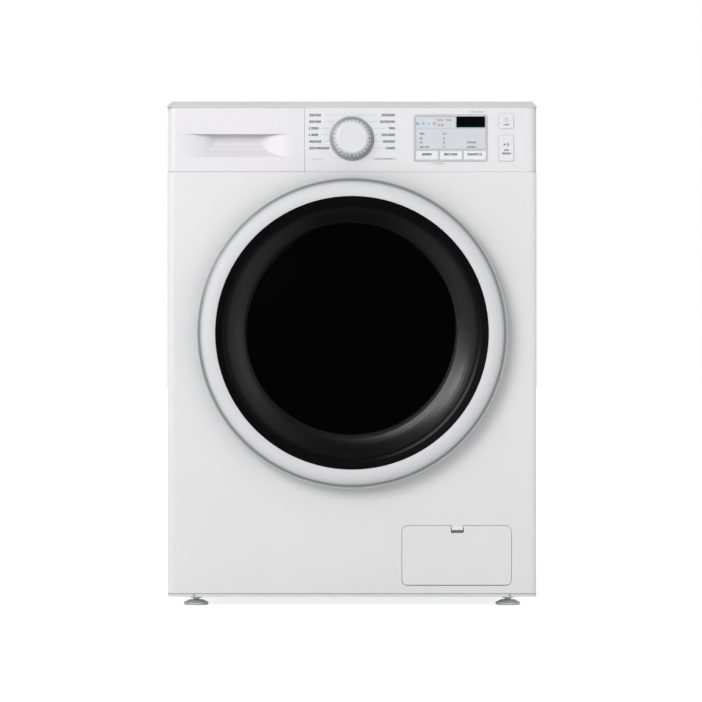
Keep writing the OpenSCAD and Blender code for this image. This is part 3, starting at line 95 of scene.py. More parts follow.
def linear(colour: str) -> tuple[float, float, float, float]:
    """Turns an sRGB hex colour into linear values.

    Args:
        colour: The colour as #RRGGBB.

    Returns:
        Red, green, blue and a full alpha.
    """
    parts = [int(colour[i:i + 2], 16) / 255 for i in (1, 3, 5)]
    red, green, blue = (c / 12.92 if c <= 0.04045 else ((c + 0.055) / 1.055) ** 2.4 for c in parts)
    return red, green, blue, 1.0


def add_node(
    tree: Tree,
    kind: str,
    settings: Mapping[str | int, Any] | None = None,
    links: Mapping[str | int, Socket] | None = None,
) -> bpy.types.Node:
    """Adds a node with its settings and links.

    Args:
        tree: The tree that takes the node.
        kind: The type of the node.
        settings: Values by the name of a property, or by the name or number of an input.
        links: Output sockets by the name or number of the input that they feed.

    Returns:
        The new node.
    """
    node = tree.nodes.new(kind)
    for key, value in (settings or {}).items():
        if isinstance(key, str) and hasattr(node, key):
            setattr(node, key, value)
        else:
            node.inputs[key].default_value = value
    for key, socket in (links or {}).items():
        tree.links.new(socket, node.inputs[key])
    return node


def feed(tree: Tree, node: bpy.types.Node, values: Iterable[tuple[int, Any]]) -> None:
    """Links or sets a node's inputs.

    Args:
        tree: The tree that holds the node.
        node: The node.
        values: The number of each input, with a socket or a plain value for it.
    """
    for number, value in values:
        if isinstance(value, Socket):
            tree.links.new(value, node.inputs[number])
        else:
            node.inputs[number].default_value = value


def mixed(tree: Tree, share: Socket, first: Socket | str, second: Socket | str) -> Socket:
    """Mixes two colours.

    Args:
        tree: The material's tree.
        share: How much of the second colour shows.
        first: A colour's socket or hex value.
        second: A colour's socket or hex value.

    Returns:
        The mixed colour's socket.
    """
    node = add_node(tree, "ShaderNodeMix", {"data_type": "RGBA"}, {0: share})
    colours = (linear(colour) if isinstance(colour, str) else colour for colour in (first, second))
    feed(tree, node, zip((6, 7), colours))
    return node.outputs[2]


def ramp(tree: Tree, value: Socket, low: float, high: float, start: float = 0.0, end: float = 1.0) -> Socket:
    """Maps a value's range onto another and holds it inside.

    Args:
        tree: The tree that takes the node.
        value: The value.
        low: The value that gives the start.
        high: The value that gives the end, which may be the smaller of the two.
        start: The result at the low value.
        end: The result at the high value.

    Returns:
        The result's socket.
    """
    return add_node(tree, "ShaderNodeMapRange", {
        "From Min": low, "From Max": high, "To Min": start, "To Max": end,
    }, {"Value": value}).outputs["Result"]


def reckon(tree: Tree, operation: str, *values: Socket | float) -> Socket:
    """Reckons with one or two values.

    Args:
        tree: The tree that takes the node.
        operation: What is done with them.
        values: Sockets or plain numbers.

    Returns:
        The result's socket.
    """
    node = add_node(tree, "ShaderNodeMath", {"operation": operation})
    feed(tree, node, enumerate(values))
    return node.outputs[0]


def between(tree: Tree, share: Socket, first: Socket | float, second: Socket | float) -> Socket:
    """Mixes two numbers.

    Args:
        tree: The tree that takes the node.
        share: How much of the second number counts.
        first: A socket or a plain number.
        second: A socket or a plain number.

    Returns:
        The result's socket.
    """
    node = add_node(tree, "ShaderNodeMix", {"data_type": "FLOAT"}, {0: share})
    feed(tree, node, ((2, first), (3, second)))
    return node.outputs[0]


def noise(tree: Tree, place: Socket, size: float, detail: float, rough: float = 0.5) -> Socket:
    """Makes a cloudy pattern.

    Args:
        tree: The material's tree.
        place: The point on the piece.
        size: Size of its clouds in millimetres.
        detail: How many finer layers it has.
        rough: How strong the finer layers are.

    Returns:
        The socket that runs from 0 to 1.
    """
    return add_node(tree, "ShaderNodeTexNoise", {"Scale": 1000 / size, "Detail": detail, "Roughness": rough},
                    {"Vector": place}).outputs["Fac"]


def radius_from(tree: Tree, place: Socket, x: float, z: float) -> Socket:
    """Measures how far a point lies from a level axis that runs front to back.

    Args:
        tree: The material's tree.
        place: The point on the piece.
        x: The axis in millimetres from the middle of the machine.
        z: The axis in millimetres above the floor.

    Returns:
        The socket with the radius in millimetres.
    """
    moved = add_node(tree, "ShaderNodeVectorMath", {"operation": "SUBTRACT", 1: at(x, 0, z)}, {0: place})
    flat = add_node(tree, "ShaderNodeVectorMath", {"operation": "MULTIPLY", 1: (1000, 0, 1000)},
                    {0: moved.outputs["Vector"]})
    return add_node(tree, "ShaderNodeVectorMath", {"operation": "LENGTH"},
                    {0: flat.outputs["Vector"]}).outputs["Value"]


def angles(steps: int) -> list[float]:
    """Gives the angles of equal steps round a circle."""
    return [math.tau * i / steps for i in range(steps)]


class Align(Enum):
    """Which part of a printed line stands at its given place, as a share of its length."""

    LEFT = 0.0
    MIDDLE = 0.5
    RIGHT = 1.0


class Axis(Enum):
    """Direction in which a tool or roller has worked a surface."""

    ACROSS = (0.02, 1.0, 1.0)
    ALONG = (1.0, 0.02, 1.0)
    UPRIGHT = (1.0, 1.0, 0.02)


@dataclass(frozen=True)
class Finish:
    """What a piece is made of and how its surface was made: a moulded or painted skin with a fine grain.

    Lengths are millimetres, and the height of the grain is micrometres. The colour wanders to the other one
    over the length of a cloud, and the gloss wanders by the scuff over the length of a smear. The edges turn
    to a lighter edge tone, partly rub wear and partly a painted highlight, and soften rounds them to the eye.
    """

    name: str
    colour: str
    roughness: float
    other: str = ""
    metallic: float = 0.0
    ior: float = 1.5
    coat: float = 0.0
    cloud: float = 120.0
    grain: float = 2.4
    height: float = 6.0
    scuff: float = 0.05
    edge_wear_and_highlight: str = ""
    edge: float = 0.8
    soften: float = 0.0
    smear: float = 35.0

    def material(self) -> bpy.types.Material:
        """Makes the finish's material, or finds it where it is already made.

        Returns:
            The material.
        """
        made = bpy.data.materials.get(self.name)
        if made:
            return made
        made = bpy.data.materials.new(self.name)
        made.use_nodes = True
        tree = made.node_tree
        tree.nodes.clear()
        place = add_node(tree, "ShaderNodeTexCoord").outputs["Object"]
        skin = add_node(tree, "ShaderNodeBsdfPrincipled", {
            "Base Color": linear(self.colour), "Roughness": self.roughness, "Metallic": self.metallic,
        })
        if not self.metallic:
            skin.inputs["IOR"].default_value = self.ior
        if self.coat:
            skin.inputs["Coat Weight"].default_value = self.coat
            skin.inputs["Coat Roughness"].default_value = 0.08
        tree.links.new(self.lighten_edges(tree, self.colouring(tree, place)), skin.inputs["Base Color"])
        tree.links.new(self.gloss(tree, place), skin.inputs["Roughness"])
        bump = add_node(tree, "ShaderNodeBump", {"Distance": self.height / 1e6, "Strength": 1.0},
                        {"Height": self.relief(tree, place)})
        facing = self.facing(tree, place)
        if facing:
            tree.links.new(facing, bump.inputs["Normal"])
        tree.links.new(bump.outputs["Normal"], skin.inputs["Normal"])
        self.extras(tree, skin, place)
        add_node(tree, "ShaderNodeOutputMaterial", {}, {"Surface": skin.outputs["BSDF"]})
        made.diffuse_color = linear(self.colour)
        return made

    def colouring(self, tree: Tree, place: Socket) -> Socket:
        """Lets the colour wander slowly between the finish's two tones.

        Args:
            tree: The material's tree.
            place: The point on the piece.

        Returns:
            The colour's socket.
        """
        spread = ramp(tree, noise(tree, place, self.cloud, 4.0), 0.35, 0.65)
        return mixed(tree, spread, self.colour, self.other or self.colour)

    def lighten_edges(self, tree: Tree, colour: Socket) -> Socket:
        """Turns the edges towards a lighter tone: partly rub wear, partly a painted highlight.

        Args:
            tree: The material's tree.
            colour: The colour away from the edges.

        Returns:
            The colour with its lightened edges.
        """
        if not self.edge_wear_and_highlight:
            return colour
        # Rub wear and painted highlight: edges turn to the lighter edge tone.
        bent = add_node(tree, "ShaderNodeBevel", {"samples": 4, "Radius": self.edge / 1000})
        flat = add_node(tree, "ShaderNodeNewGeometry")
        turn = add_node(tree, "ShaderNodeVectorMath", {"operation": "DOT_PRODUCT"},
                        {0: bent.outputs["Normal"], 1: flat.outputs["Normal"]})
        return mixed(tree, ramp(tree, turn.outputs["Value"], 0.97, 0.78, end=0.55), colour, self.edge_wear_and_highlight)

    def gloss(self, tree: Tree, place: Socket) -> Socket:
        """Gives the roughness, which handling leaves uneven.

        Args:
            tree: The material's tree.
            place: The point on the piece.

        Returns:
            The roughness's socket.
        """
        smear = noise(tree, place, self.smear, 5.0, 0.6)
        return ramp(tree, smear, 0.3, 0.7, max(0.02, self.roughness - self.scuff),
                    min(1.0, self.roughness + self.scuff))

    def relief(self, tree: Tree, place: Socket) -> Socket:
        """Gives the height of the surface's grain."""
        return noise(tree, place, self.grain, 3.0)

    def facing(self, tree: Tree, place: Socket) -> Socket | None:
        """Gives the direction that the grain stands on.

        Args:
            tree: The material's tree.
            place: The point on the piece.

        Returns:
            The direction eased over the edges, or None where the surface's own will do.
        """
        if not self.soften:
            return None
        eased = add_node(tree, "ShaderNodeBevel", {"samples": 8, "Radius": self.soften / 1000})
        return eased.outputs["Normal"]

    def extras(self, tree: Tree, skin: bpy.types.Node, place: Socket) -> None:
        """Adds what only this kind of surface has."""


@dataclass(frozen=True)
class RolledSheet(Finish):
    """Metal sheet that keeps the fine lines of its last roller or brush."""

    grain: float = 1.2
    lay: Axis = Axis.UPRIGHT

    def relief(self, tree: Tree, place: Socket) -> Socket:
        """Draws the grain out along the roller's way. Real lines are 0.05 mm apart, these coarser to show.

        Args:
            tree: The material's tree.
            place: The point on the piece.

        Returns:
            The height's socket.
        """
        drawn = add_node(tree, "ShaderNodeMapping", {"Scale": self.lay.value}, {"Vector": place})
        return noise(tree, drawn.outputs["Vector"], self.grain, 2.0)


@dataclass(frozen=True)
class SpangledZinc(Finish):
    """Hot-dip galvanised sheet with its frost-like crystals."""

    spangle: float = 6.0

    def colouring(self, tree: Tree, place: Socket) -> Socket:
        """Gives each crystal its own tone.

        Args:
            tree: The material's tree.
            place: The point on the piece.

        Returns:
            The colour's socket.
        """
        cells = add_node(tree, "ShaderNodeTexVoronoi", {"Scale": 1000 / self.spangle}, {"Vector": place})
        tone = add_node(tree, "ShaderNodeSeparateColor", {}, {"Color": cells.outputs["Color"]})
        return mixed(tree, tone.outputs["Red"], self.colour, self.other or self.colour)


@dataclass(frozen=True)
class SparkGrain(Finish):
    """Moulded plastic with the even grain of an eroded mould."""

    grain: float = 1.6

    def relief(self, tree: Tree, place: Socket) -> Socket:
        """Sets fine rounded grains side by side. Real ones are 0.1 mm wide, these are coarser to show."""
        return add_node(tree, "ShaderNodeTexVoronoi", {"feature": "SMOOTH_F1", "Scale": 1000 / self.grain},
                        {"Vector": place}).outputs["Distance"]


@dataclass(frozen=True)
class PoredConcrete(Finish):
    """Cast concrete with aggregate flecks and air pores."""

    grit: float = 3.0
    pore: float = 8.0
    fleck: str = "#6F6D68"

    def colouring(self, tree: Tree, place: Socket) -> Socket:
        """Scatters darker aggregate in the paste.

        Args:
            tree: The material's tree.
            place: The point on the piece.

        Returns:
            The colour's socket.
        """
        grit = add_node(tree, "ShaderNodeTexVoronoi", {"Scale": 1000 / self.grit}, {"Vector": place})
        share = ramp(tree, grit.outputs["Distance"], 0.25, 0.1)
        return mixed(tree, share, super().colouring(tree, place), self.fleck)

    def relief(self, tree: Tree, place: Socket) -> Socket:
        """Sinks round pores between 1 and 4 mm wide, a few millimetres apart.

        Args:
            tree: The material's tree.
            place: The point on the piece.

        Returns:
            The height's socket.
        """
        pores = add_node(tree, "ShaderNodeTexVoronoi", {"Scale": 1000 / self.pore}, {"Vector": place})
        return ramp(tree, pores.outputs["Distance"], 0.08, 0.2)


@dataclass(frozen=True)
class CircuitLaminate(Finish):
    """Epoxy board under green solder resist, with copper tracks and tinned pads."""

    track: float = 3.0
    pad: float = 5.0
    tin: str = "#C9CBC6"

    def colouring(self, tree: Tree, place: Socket) -> Socket:
        """Draws the tracks as paler bands and the pads as dots of tin, each at its own spacing.

        Args:
            tree: The material's tree.
            place: The point on the piece.

        Returns:
            The colour's socket.
        """
        bands = add_node(tree, "ShaderNodeTexWave", {
            "Scale": 1000 / self.track / math.tau, "Distortion": 6.0, "Detail": 1.0}, {"Vector": place})
        copper = ramp(tree, bands.outputs["Fac"], 0.7, 0.8)
        dots = add_node(tree, "ShaderNodeTexVoronoi", {"Scale": 1000 / self.pad, "Randomness": 0.2},
                        {"Vector": place})
        solder = ramp(tree, dots.outputs["Distance"], 0.22, 0.18)
        return mixed(tree, solder, mixed(tree, copper, self.colour, self.other), self.tin)


@dataclass(frozen=True)
class PerforatedSteel(RolledSheet):
    """Polished drum sheet with rows of punched holes, whose rims are pressed outwards."""

    pitch: float = 16.0
    hole: float = 2.2
    rim: float = 3.0
    shade: str = "#101112"

    def holes(self, tree: Tree, place: Socket) -> Socket:
        """Measures the distance from the nearest hole of the drum's grid.

        Args:
            tree: The material's tree.
            place: The point on the drum.

        Returns:
            The socket with the distance in millimetres.
        """
        x, z = middle("drum_shell")
        low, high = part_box("drum_shell")
        around = round(1000 * math.pi * (high.x - low.x) / self.pitch)
        part = add_node(tree, "ShaderNodeSeparateXYZ", {}, {0: place}).outputs
        turn = reckon(tree, "ARCTAN2", reckon(tree, "SUBTRACT", part["Z"], z / 1000),
                      reckon(tree, "SUBTRACT", part["X"], x / 1000))
        steps = []
        for line, rate in ((turn, around / math.tau), (part["Y"], 1000 / self.pitch)):
            near = reckon(tree, "PINGPONG", reckon(tree, "MULTIPLY", line, rate), 0.5)
            steps.append(reckon(tree, "MULTIPLY", near, self.pitch))
        off = add_node(tree, "ShaderNodeCombineXYZ", {}, {0: steps[0], 1: steps[1]})
        return add_node(tree, "ShaderNodeVectorMath", {"operation": "LENGTH"},
                        {0: off.outputs[0]}).outputs["Value"]

    def colouring(self, tree: Tree, place: Socket) -> Socket:
        """Darkens the holes.

        Args:
            tree: The material's tree.
            place: The point on the piece.

        Returns:
            The colour's socket.
        """
        dark = ramp(tree, self.holes(tree, place), self.hole, self.hole * 0.7)
        return mixed(tree, dark, super().colouring(tree, place), self.shade)

    def relief(self, tree: Tree, place: Socket) -> Socket:
        """Raises the rim round each hole above the brushed sheet.

        Args:
            tree: The material's tree.
            place: The point on the piece.

        Returns:
            The height's socket.
        """
        rim = ramp(tree, self.holes(tree, place), self.hole * 2.2, self.hole, end=self.rim)
        return reckon(tree, "ADD", rim, super().relief(tree, place))


@dataclass(frozen=True)
class SilveredKnob(Finish):
    """Pearl moulding whose foot is lacquered silver beyond a radius from the knob's axis."""

    inner: float = 30.6
    blur: float = 0.5
    silver: str = "#929498"

    def colouring(self, tree: Tree, place: Socket) -> Socket:
        """Gives the foot its silver tone.

        Args:
            tree: The material's tree.
            place: The point on the knob.

        Returns:
            The colour's socket.
        """
        radius = radius_from(tree, place, *middle("program_knob"))
        beyond = ramp(tree, radius, self.inner - self.blur, self.inner + self.blur)
        return mixed(tree, beyond, super().colouring(tree, place), self.silver)


@dataclass(frozen=True)
class RecessShadedPlastic(Finish):
    """Moulded plastic that is painted greyer in its recesses, as painted shade."""

    reach: float = 26.0
    dull: str = "#BDBCC0"

    def colouring(self, tree: Tree, place: Socket) -> Socket:
        """Paints shade into the recesses, greyer where walls close in.

        Args:
            tree: The material's tree.
            place: The point on the piece.

        Returns:
            The colour's socket.
        """
        # Painted shade: ambient occlusion greys the colour towards the dull tone in recesses.
        hidden = add_node(tree, "ShaderNodeAmbientOcclusion", {"samples": 8, "Distance": self.reach / 1000})
        share = ramp(tree, hidden.outputs["AO"], 0.72, 0.3)
        return mixed(tree, share, super().colouring(tree, place), self.dull)


@dataclass(frozen=True)
class GrooveShadedTrim(Finish):
    """Trim with painted shade in the groove beside the white ring."""

    groove: float = 246.6
    half: float = 4.2
    floor: float = 0.8
    dark: str = "#808186"

    def colouring(self, tree: Tree, place: Socket) -> Socket:
        """Paints shade onto the trim, darkest in the middle of its groove.

        Args:
            tree: The material's tree.
            place: The point on the piece.

        Returns:
            The colour's socket.
        """
        radius = radius_from(tree, place, *middle("door_outer_ring"))
        away = reckon(tree, "ABSOLUTE", reckon(tree, "SUBTRACT", radius, self.groove))
        # Painted shade: the trim turns to the dark tone near the groove's middle.
        share = add_node(tree, "ShaderNodeMapRange", {
            "interpolation_type": "SMOOTHSTEP", "From Min": self.half, "From Max": self.floor,
        }, {"Value": away})
        return mixed(tree, share.outputs["Result"], super().colouring(tree, place), self.dark)


@dataclass(frozen=True)
class PolishedMiddle(Finish):
    """Black pane with a satin slope round its polished middle, and a dull rim; the middle is painted a deeper
    black as shade of the drum behind it.

    Radii are counted from the pane's axis, and the middle stands off it by its shift and lift. Each border
    runs over twice its blur.
    """

    middle_r: float = 171.0
    blur: float = 0.5
    shift: float = -3.0
    lift: float = 7.0
    rim_r: float = 202.0
    rim_blur: float = 3.0
    polish: float = 0.08
    rim_polish: float = 0.25
    rim_shine: float = 0.14
    hub_r: float = 9.0
    drum_shade: str = "#000000"

    def inside(self, tree: Tree, place: Socket) -> Socket:
        """Tells the polished middle from the slope round it.

        Args:
            tree: The material's tree.
            place: The point on the pane.

        Returns:
            The socket that is 1 in the middle.
        """
        x, z = middle("door_pane")
        radius = radius_from(tree, place, x + self.shift, z + self.lift)
        return ramp(tree, radius, self.middle_r + self.blur, self.middle_r - self.blur)

    def rim(self, tree: Tree, place: Socket) -> Socket:
        """Tells the rim from the slope inside it.

        Args:
            tree: The material's tree.
            place: The point on the pane.

        Returns:
            The socket that is 1 on the rim.
        """
        radius = radius_from(tree, place, *middle("door_pane"))
        return ramp(tree, radius, self.rim_r - self.rim_blur, self.rim_r + self.rim_blur)

    def colouring(self, tree: Tree, place: Socket) -> Socket:
        """Paints the middle a deeper black, as shade of the drum behind the pane."""
        # Painted shade: the offset middle turns to the deeper black of the drum behind.
        return mixed(tree, self.inside(tree, place), super().colouring(tree, place), self.drum_shade)

    def gloss(self, tree: Tree, place: Socket) -> Socket:
        """Polishes the middle, and the rim a little less.

        Args:
            tree: The material's tree.
            place: The point on the piece.

        Returns:
            The roughness's socket.
        """
        slope = between(tree, self.rim(tree, place), super().gloss(tree, place), self.rim_polish)
        return between(tree, self.inside(tree, place), slope, self.polish)

    def facing(self, tree: Tree, place: Socket) -> Socket | None:
        """Takes the flat direction of the triangles that meet at the hub, which would glint if eased.

        Args:
            tree: The material's tree.
            place: The point on the pane.

        Returns:
            The direction's socket.
        """
        hub = reckon(tree, "LESS_THAN", radius_from(tree, place, *middle("door_pane")), self.hub_r)
        ways = add_node(tree, "ShaderNodeNewGeometry").outputs
        return add_node(tree, "ShaderNodeMix", {"data_type": "VECTOR"},
                        {0: hub, 4: ways["Normal"], 5: ways["True Normal"]}).outputs[1]

    def extras(self, tree: Tree, skin: bpy.types.Node, place: Socket) -> None:
        """Dulls the rim, which looks deeper than the slope.

        Args:
            tree: The material's tree.
            skin: The node of its surface.
            place: The point on the pane.
        """
        shine = between(tree, self.rim(tree, place), 0.5, self.rim_shine)
        tree.links.new(shine, skin.inputs["Specular IOR Level"])


@dataclass(frozen=True)
class ClearGlass(Finish):
    """Pressed glass, faintly wavy, that light goes through."""

    def extras(self, tree: Tree, skin: bpy.types.Node, place: Socket) -> None:
        """Lets the light through."""
        skin.inputs["Transmission Weight"].default_value = 1.0


@dataclass(frozen=True)
class GlowingLamp(Finish):
    """Light pipe over a diode that is switched on."""

    power: float = 1.0

    def extras(self, tree: Tree, skin: bpy.types.Node, place: Socket) -> None:
        """Adds the diode's light."""
        skin.inputs["Emission Color"].default_value = linear(self.colour)
        skin.inputs["Emission Strength"].default_value = self.power


# Steel sheet with a baked white powder coat: even and satin, with the faint orange peel of the cured powder.
PAINTED_STEEL = Finish("powder_coated_steel", "#E2E2E3", 0.36, "#E0E0E1", cloud=260, grain=3.2, height=9,
                       edge_wear_and_highlight="#EEEEEF")
# Moulded ABS of the drawer's front, with a slight lilac cast: smooth, faintly wavy where the melt has shrunk,
# and with painted shade in its finger pocket and other recesses.
DRAWER_ABS = RecessShadedPlastic("moulded_abs_drawer", "#E3E1E4", 0.34, "#E1E0E3", cloud=260, grain=4.0, height=4,
                             edge_wear_and_highlight="#F2F1F3", soften=1.6)
# Moulded ABS of the console and its buttons: the same resin, without the lilac cast.
WHITE_ABS = Finish("moulded_abs_white", "#E3E3E4", 0.34, "#E1E1E3", cloud=260, grain=4.0, height=4,
                   edge_wear_and_highlight="#F0F0F1")
# Satin ABS of the door's ring: a dull white that shows no reflections, painted greyer than the console's
# white as shade of its curved face.
SHADED_RING_ABS = Finish("moulded_abs_ring", "#D3D3D6", 0.62, "#D1D1D4", cloud=260, grain=2.4, height=8,
                  edge_wear_and_highlight="#DEDEE0")
# Moulded polypropylene of the cover, duller than the paint and painted greyer as shade of its up-facing top,
# with an eroded grain.
SHADED_COVER_PLASTIC = SparkGrain("moulded_pp_cover", "#CFCFD2", 0.5, "#CBCBCF", height=10, edge_wear_and_highlight="#DADADC")
# Satin lacquer over ABS: pale silver, with a painted highlight along the edges.
SILVER_LACQUER = Finish("lacquered_abs_silver", "#D0D1D4", 0.34, "#C9CACD", metallic=0.1, grain=1.2, height=5,
                        edge_wear_and_highlight="#E6E6E8")
# Clear-coated pearl lacquer of the option keys: almost white, with a soft shine.
PEARL_KEYS = Finish("lacquered_abs_pearl", "#EBEBEE", 0.3, "#E4E5EA", coat=0.3, grain=2.0, height=4,
                    edge_wear_and_highlight="#F8F8FA")
# Printed polycarbonate of the display's face: pale blue-grey, smooth and slightly glossy.
DISPLAY_FACE = Finish("printed_polycarbonate", "#D0D4D9", 0.24, "#D3D7DB", ior=1.58, cloud=60, grain=6,
                      height=2)
# Moulded knob with a pearl-white cap over a silver-lacquered foot.
KNOB_PEARL = SilveredKnob("moulded_knob_pearl", "#DDDDDF", 0.34, "#DADADD", grain=2, height=4,
                          edge_wear_and_highlight="#EDEDEE")
# Galvanised steel: dull grey with frosted spangles that hardly differ in tone.
ZINC = SpangledZinc("galvanised_steel", "#A6AAAD", 0.42, "#9DA1A5", metallic=1.0, grain=1.5, height=5)
# Zinc-plated steel of screws, springs and hinge: brighter and smoother than the sheet.
SCREW_ZINC = RolledSheet("zinc_plated_steel", "#C2C5C8", 0.3, "#A6AAAE", metallic=1.0, height=6)
# Talc-filled polypropylene of the base: pale grey and matte, with an eroded grain.
BASE_PLASTIC = SparkGrain("moulded_pp_base", "#DADBDD", 0.62, "#D2D3D6", height=30, edge_wear_and_highlight="#E6E7E8")
# Moulded rubber of the levelling feet: pale grey and dull.
FOOT_RUBBER = SparkGrain("moulded_rubber_foot", "#ECEDEE", 0.8, "#E3E4E6", height=25)
# Glass-filled polypropylene of tub and dispenser: milky, with the swirls of the melt.
TUB_PLASTIC = Finish("moulded_pp_tub", "#D9DAD4", 0.5, "#CCCEC6", cloud=45, grain=1.4, height=16,
                     edge_wear_and_highlight="#E8E9E4")
# Glossy polypropylene of the detergent tray and the filter's surround: white and smooth.
TRAY_PLASTIC = Finish("moulded_pp_tray", "#EAEBED", 0.3, "#E2E4E7", grain=3, height=4, edge_wear_and_highlight="#F6F6F7")
# Blue polypropylene of the siphon insert: the one strong colour, glossy.
BLUE_PLASTIC = Finish("moulded_pp_blue", "#4E7DB2", 0.32, "#466F9F", grain=3, height=5, edge_wear_and_highlight="#7FA3CB")
# White polyamide housing of the inlet valve: slightly yellow, with an eroded grain.
VALVE_PLASTIC = SparkGrain("moulded_pa_valve", "#E4E4DF", 0.48, "#D8D8D2", height=14)
# Black glass-filled polyamide of fittings, pump, lock and dampers: dull, greyer along the edges.
BLACK_PLASTIC = SparkGrain("moulded_pa_black", "#26282B", 0.5, "#1E2022", height=20, edge_wear_and_highlight="#4A4D50")
# Extruded rubber hose: nearly black, with a pale bloom.
HOSE_RUBBER = Finish("extruded_rubber_hose", "#3E4043", 0.62, "#4C4E51", cloud=25, grain=0.9, height=25)
# Moulded rubber bellows: mid grey, dull, with a dusting of talc in the folds.
GASKET_RUBBER = Finish("moulded_rubber_gasket", "#8B8E91", 0.58, "#9A9DA0", cloud=30, grain=1.1, height=20)
# Ribbed rubber belt with cord inside: black and matte, with lines along its run.
BELT_RUBBER = RolledSheet("ribbed_rubber_belt", "#1C1D1F", 0.7, "#2A2B2D", height=40, grain=1.0)
# Cast concrete ballast: rough and grey, with flecks and pores.
CONCRETE = PoredConcrete("cast_concrete", "#A3A19C", 0.85, "#94928C", cloud=30, height=400)
# Drawn stainless heater tube: browned by heat.
HEATER_STEEL = RolledSheet("drawn_heater_steel", "#A8A39B", 0.3, "#7F7669", metallic=1.0, cloud=20,
                           lay=Axis.ALONG)
# Stainless drum sheet: brushed round, perforated and polished.
DRUM_STEEL = PerforatedSteel("perforated_stainless_steel", "#C3C6CA", 0.24, "#B4B8BC", metallic=1.0,
                             height=60, lay=Axis.ALONG)
# Turned steel of shaft, bearings and damper rods: bright, with the fine rings of the tool.
TURNED_STEEL = RolledSheet("turned_steel", "#BFC2C5", 0.22, "#ABAEB2", metallic=1.0, lay=Axis.ACROSS,
                           height=6)
# White polypropylene of the drum's lifters: smooth, with a soft shine.
LIFTER_PLASTIC = Finish("moulded_pp_lifter", "#E6E7E8", 0.34, "#DFE0E2", grain=3, height=5, edge_wear_and_highlight="#F4F4F5")
# Die-cast aluminium of spider and pulley: pale, with a slightly pitted skin.
CAST_ALLOY = SparkGrain("die_cast_aluminium", "#BFC2C4", 0.45, "#ADB0B3", metallic=1.0, grain=2.2,
                        height=45)
# Moulded ABS of the door's rear frame: pale grey and satin.
FRAME_ABS = Finish("moulded_abs_grey", "#B6B8BB", 0.36, "#AFB1B4", grain=2.4, height=6, edge_wear_and_highlight="#CDCFD1")
# Lacquered ABS of the trim round the door: grey, with painted shade that is darkest in the groove beside the
# white ring.
TRIM_GREY = GrooveShadedTrim("lacquered_abs_trim", "#C9CACD", 0.36, "#C4C5C8", grain=2, height=4)
# Moulded black pane: satin on its slope, polished in the middle, which is painted a deeper black as shade of
# the drum behind it.
PANE_BLACK = PolishedMiddle("moulded_pane_black", "#0B0B0C", 0.3, "#09090A", grain=30, height=3,
                            scuff=0.03)
# Pressed bowl glass: clear, slightly green at the edges.
BOWL_GLASS = ClearGlass("pressed_bowl_glass", "#DCE4E2", 0.03, "#E4EAE8", ior=1.52, grain=40, height=12,
                        scuff=0.01)
# Moulded polypropylene of filter and impeller: grey-white, with an eroded grain.
FILTER_PLASTIC = SparkGrain("moulded_pp_filter", "#D6D8DA", 0.45, "#CBCDD0", height=12)
# Epoxy laminate of the control board: green, with paler tracks and tin dots.
BOARD = CircuitLaminate("epoxy_laminate_green", "#2A6548", 0.38, "#3E7E5C", grain=1.0, height=8)
# Screen-printed grey ink of the small marks: matte and slightly uneven.
GREY_INK = Finish("screen_ink_grey", "#77797D", 0.6, "#7F8185", cloud=3, grain=0.6, height=3)
# Screen-printed dark ink of the dial's and the keys' figures: the strongest print.
DARK_INK = Finish("screen_ink_dark", "#56585C", 0.6, "#606266", cloud=3, grain=0.6, height=3)
# Grey ink screened thin, for the leader lines: hardly darker than the panel.
THIN_INK = Finish("screen_ink_thin", "#A3A5A8", 0.6, "#ABADB0", cloud=3, grain=0.6, height=3)
# Screen-printed rose ink of the three dots: pale and matte.
ROSE_INK = Finish("screen_ink_rose", "#C98E96", 0.6, "#D09AA1", cloud=3, grain=0.6, height=3)
# Screen-printed blue ink of the tinted field: pale, and a little glossier than the rest.
SKY_INK = Finish("screen_ink_blue", "#C6D3DC", 0.4, "#CBD7DF", cloud=20, grain=2, height=2)
# Smoked polycarbonate over the number window: almost black and glossy.
SMOKED_WINDOW = Finish("smoked_polycarbonate", "#040405", 0.12, "#060607", grain=10, height=2)
# Backlight that leaks out at the window's edge: a faint teal line.
TEAL_GLOW = GlowingLamp("backlight_teal", "#6FB0BC", 0.3, "#7FBAC4", power=0.12, cloud=10)
# Light pipes of the small diodes: pale blue, and dimly lit.
BLUE_DIODE = GlowingLamp("diode_blue", "#B4CDE4", 0.25, "#BCD3E8", power=0.12, cloud=4)


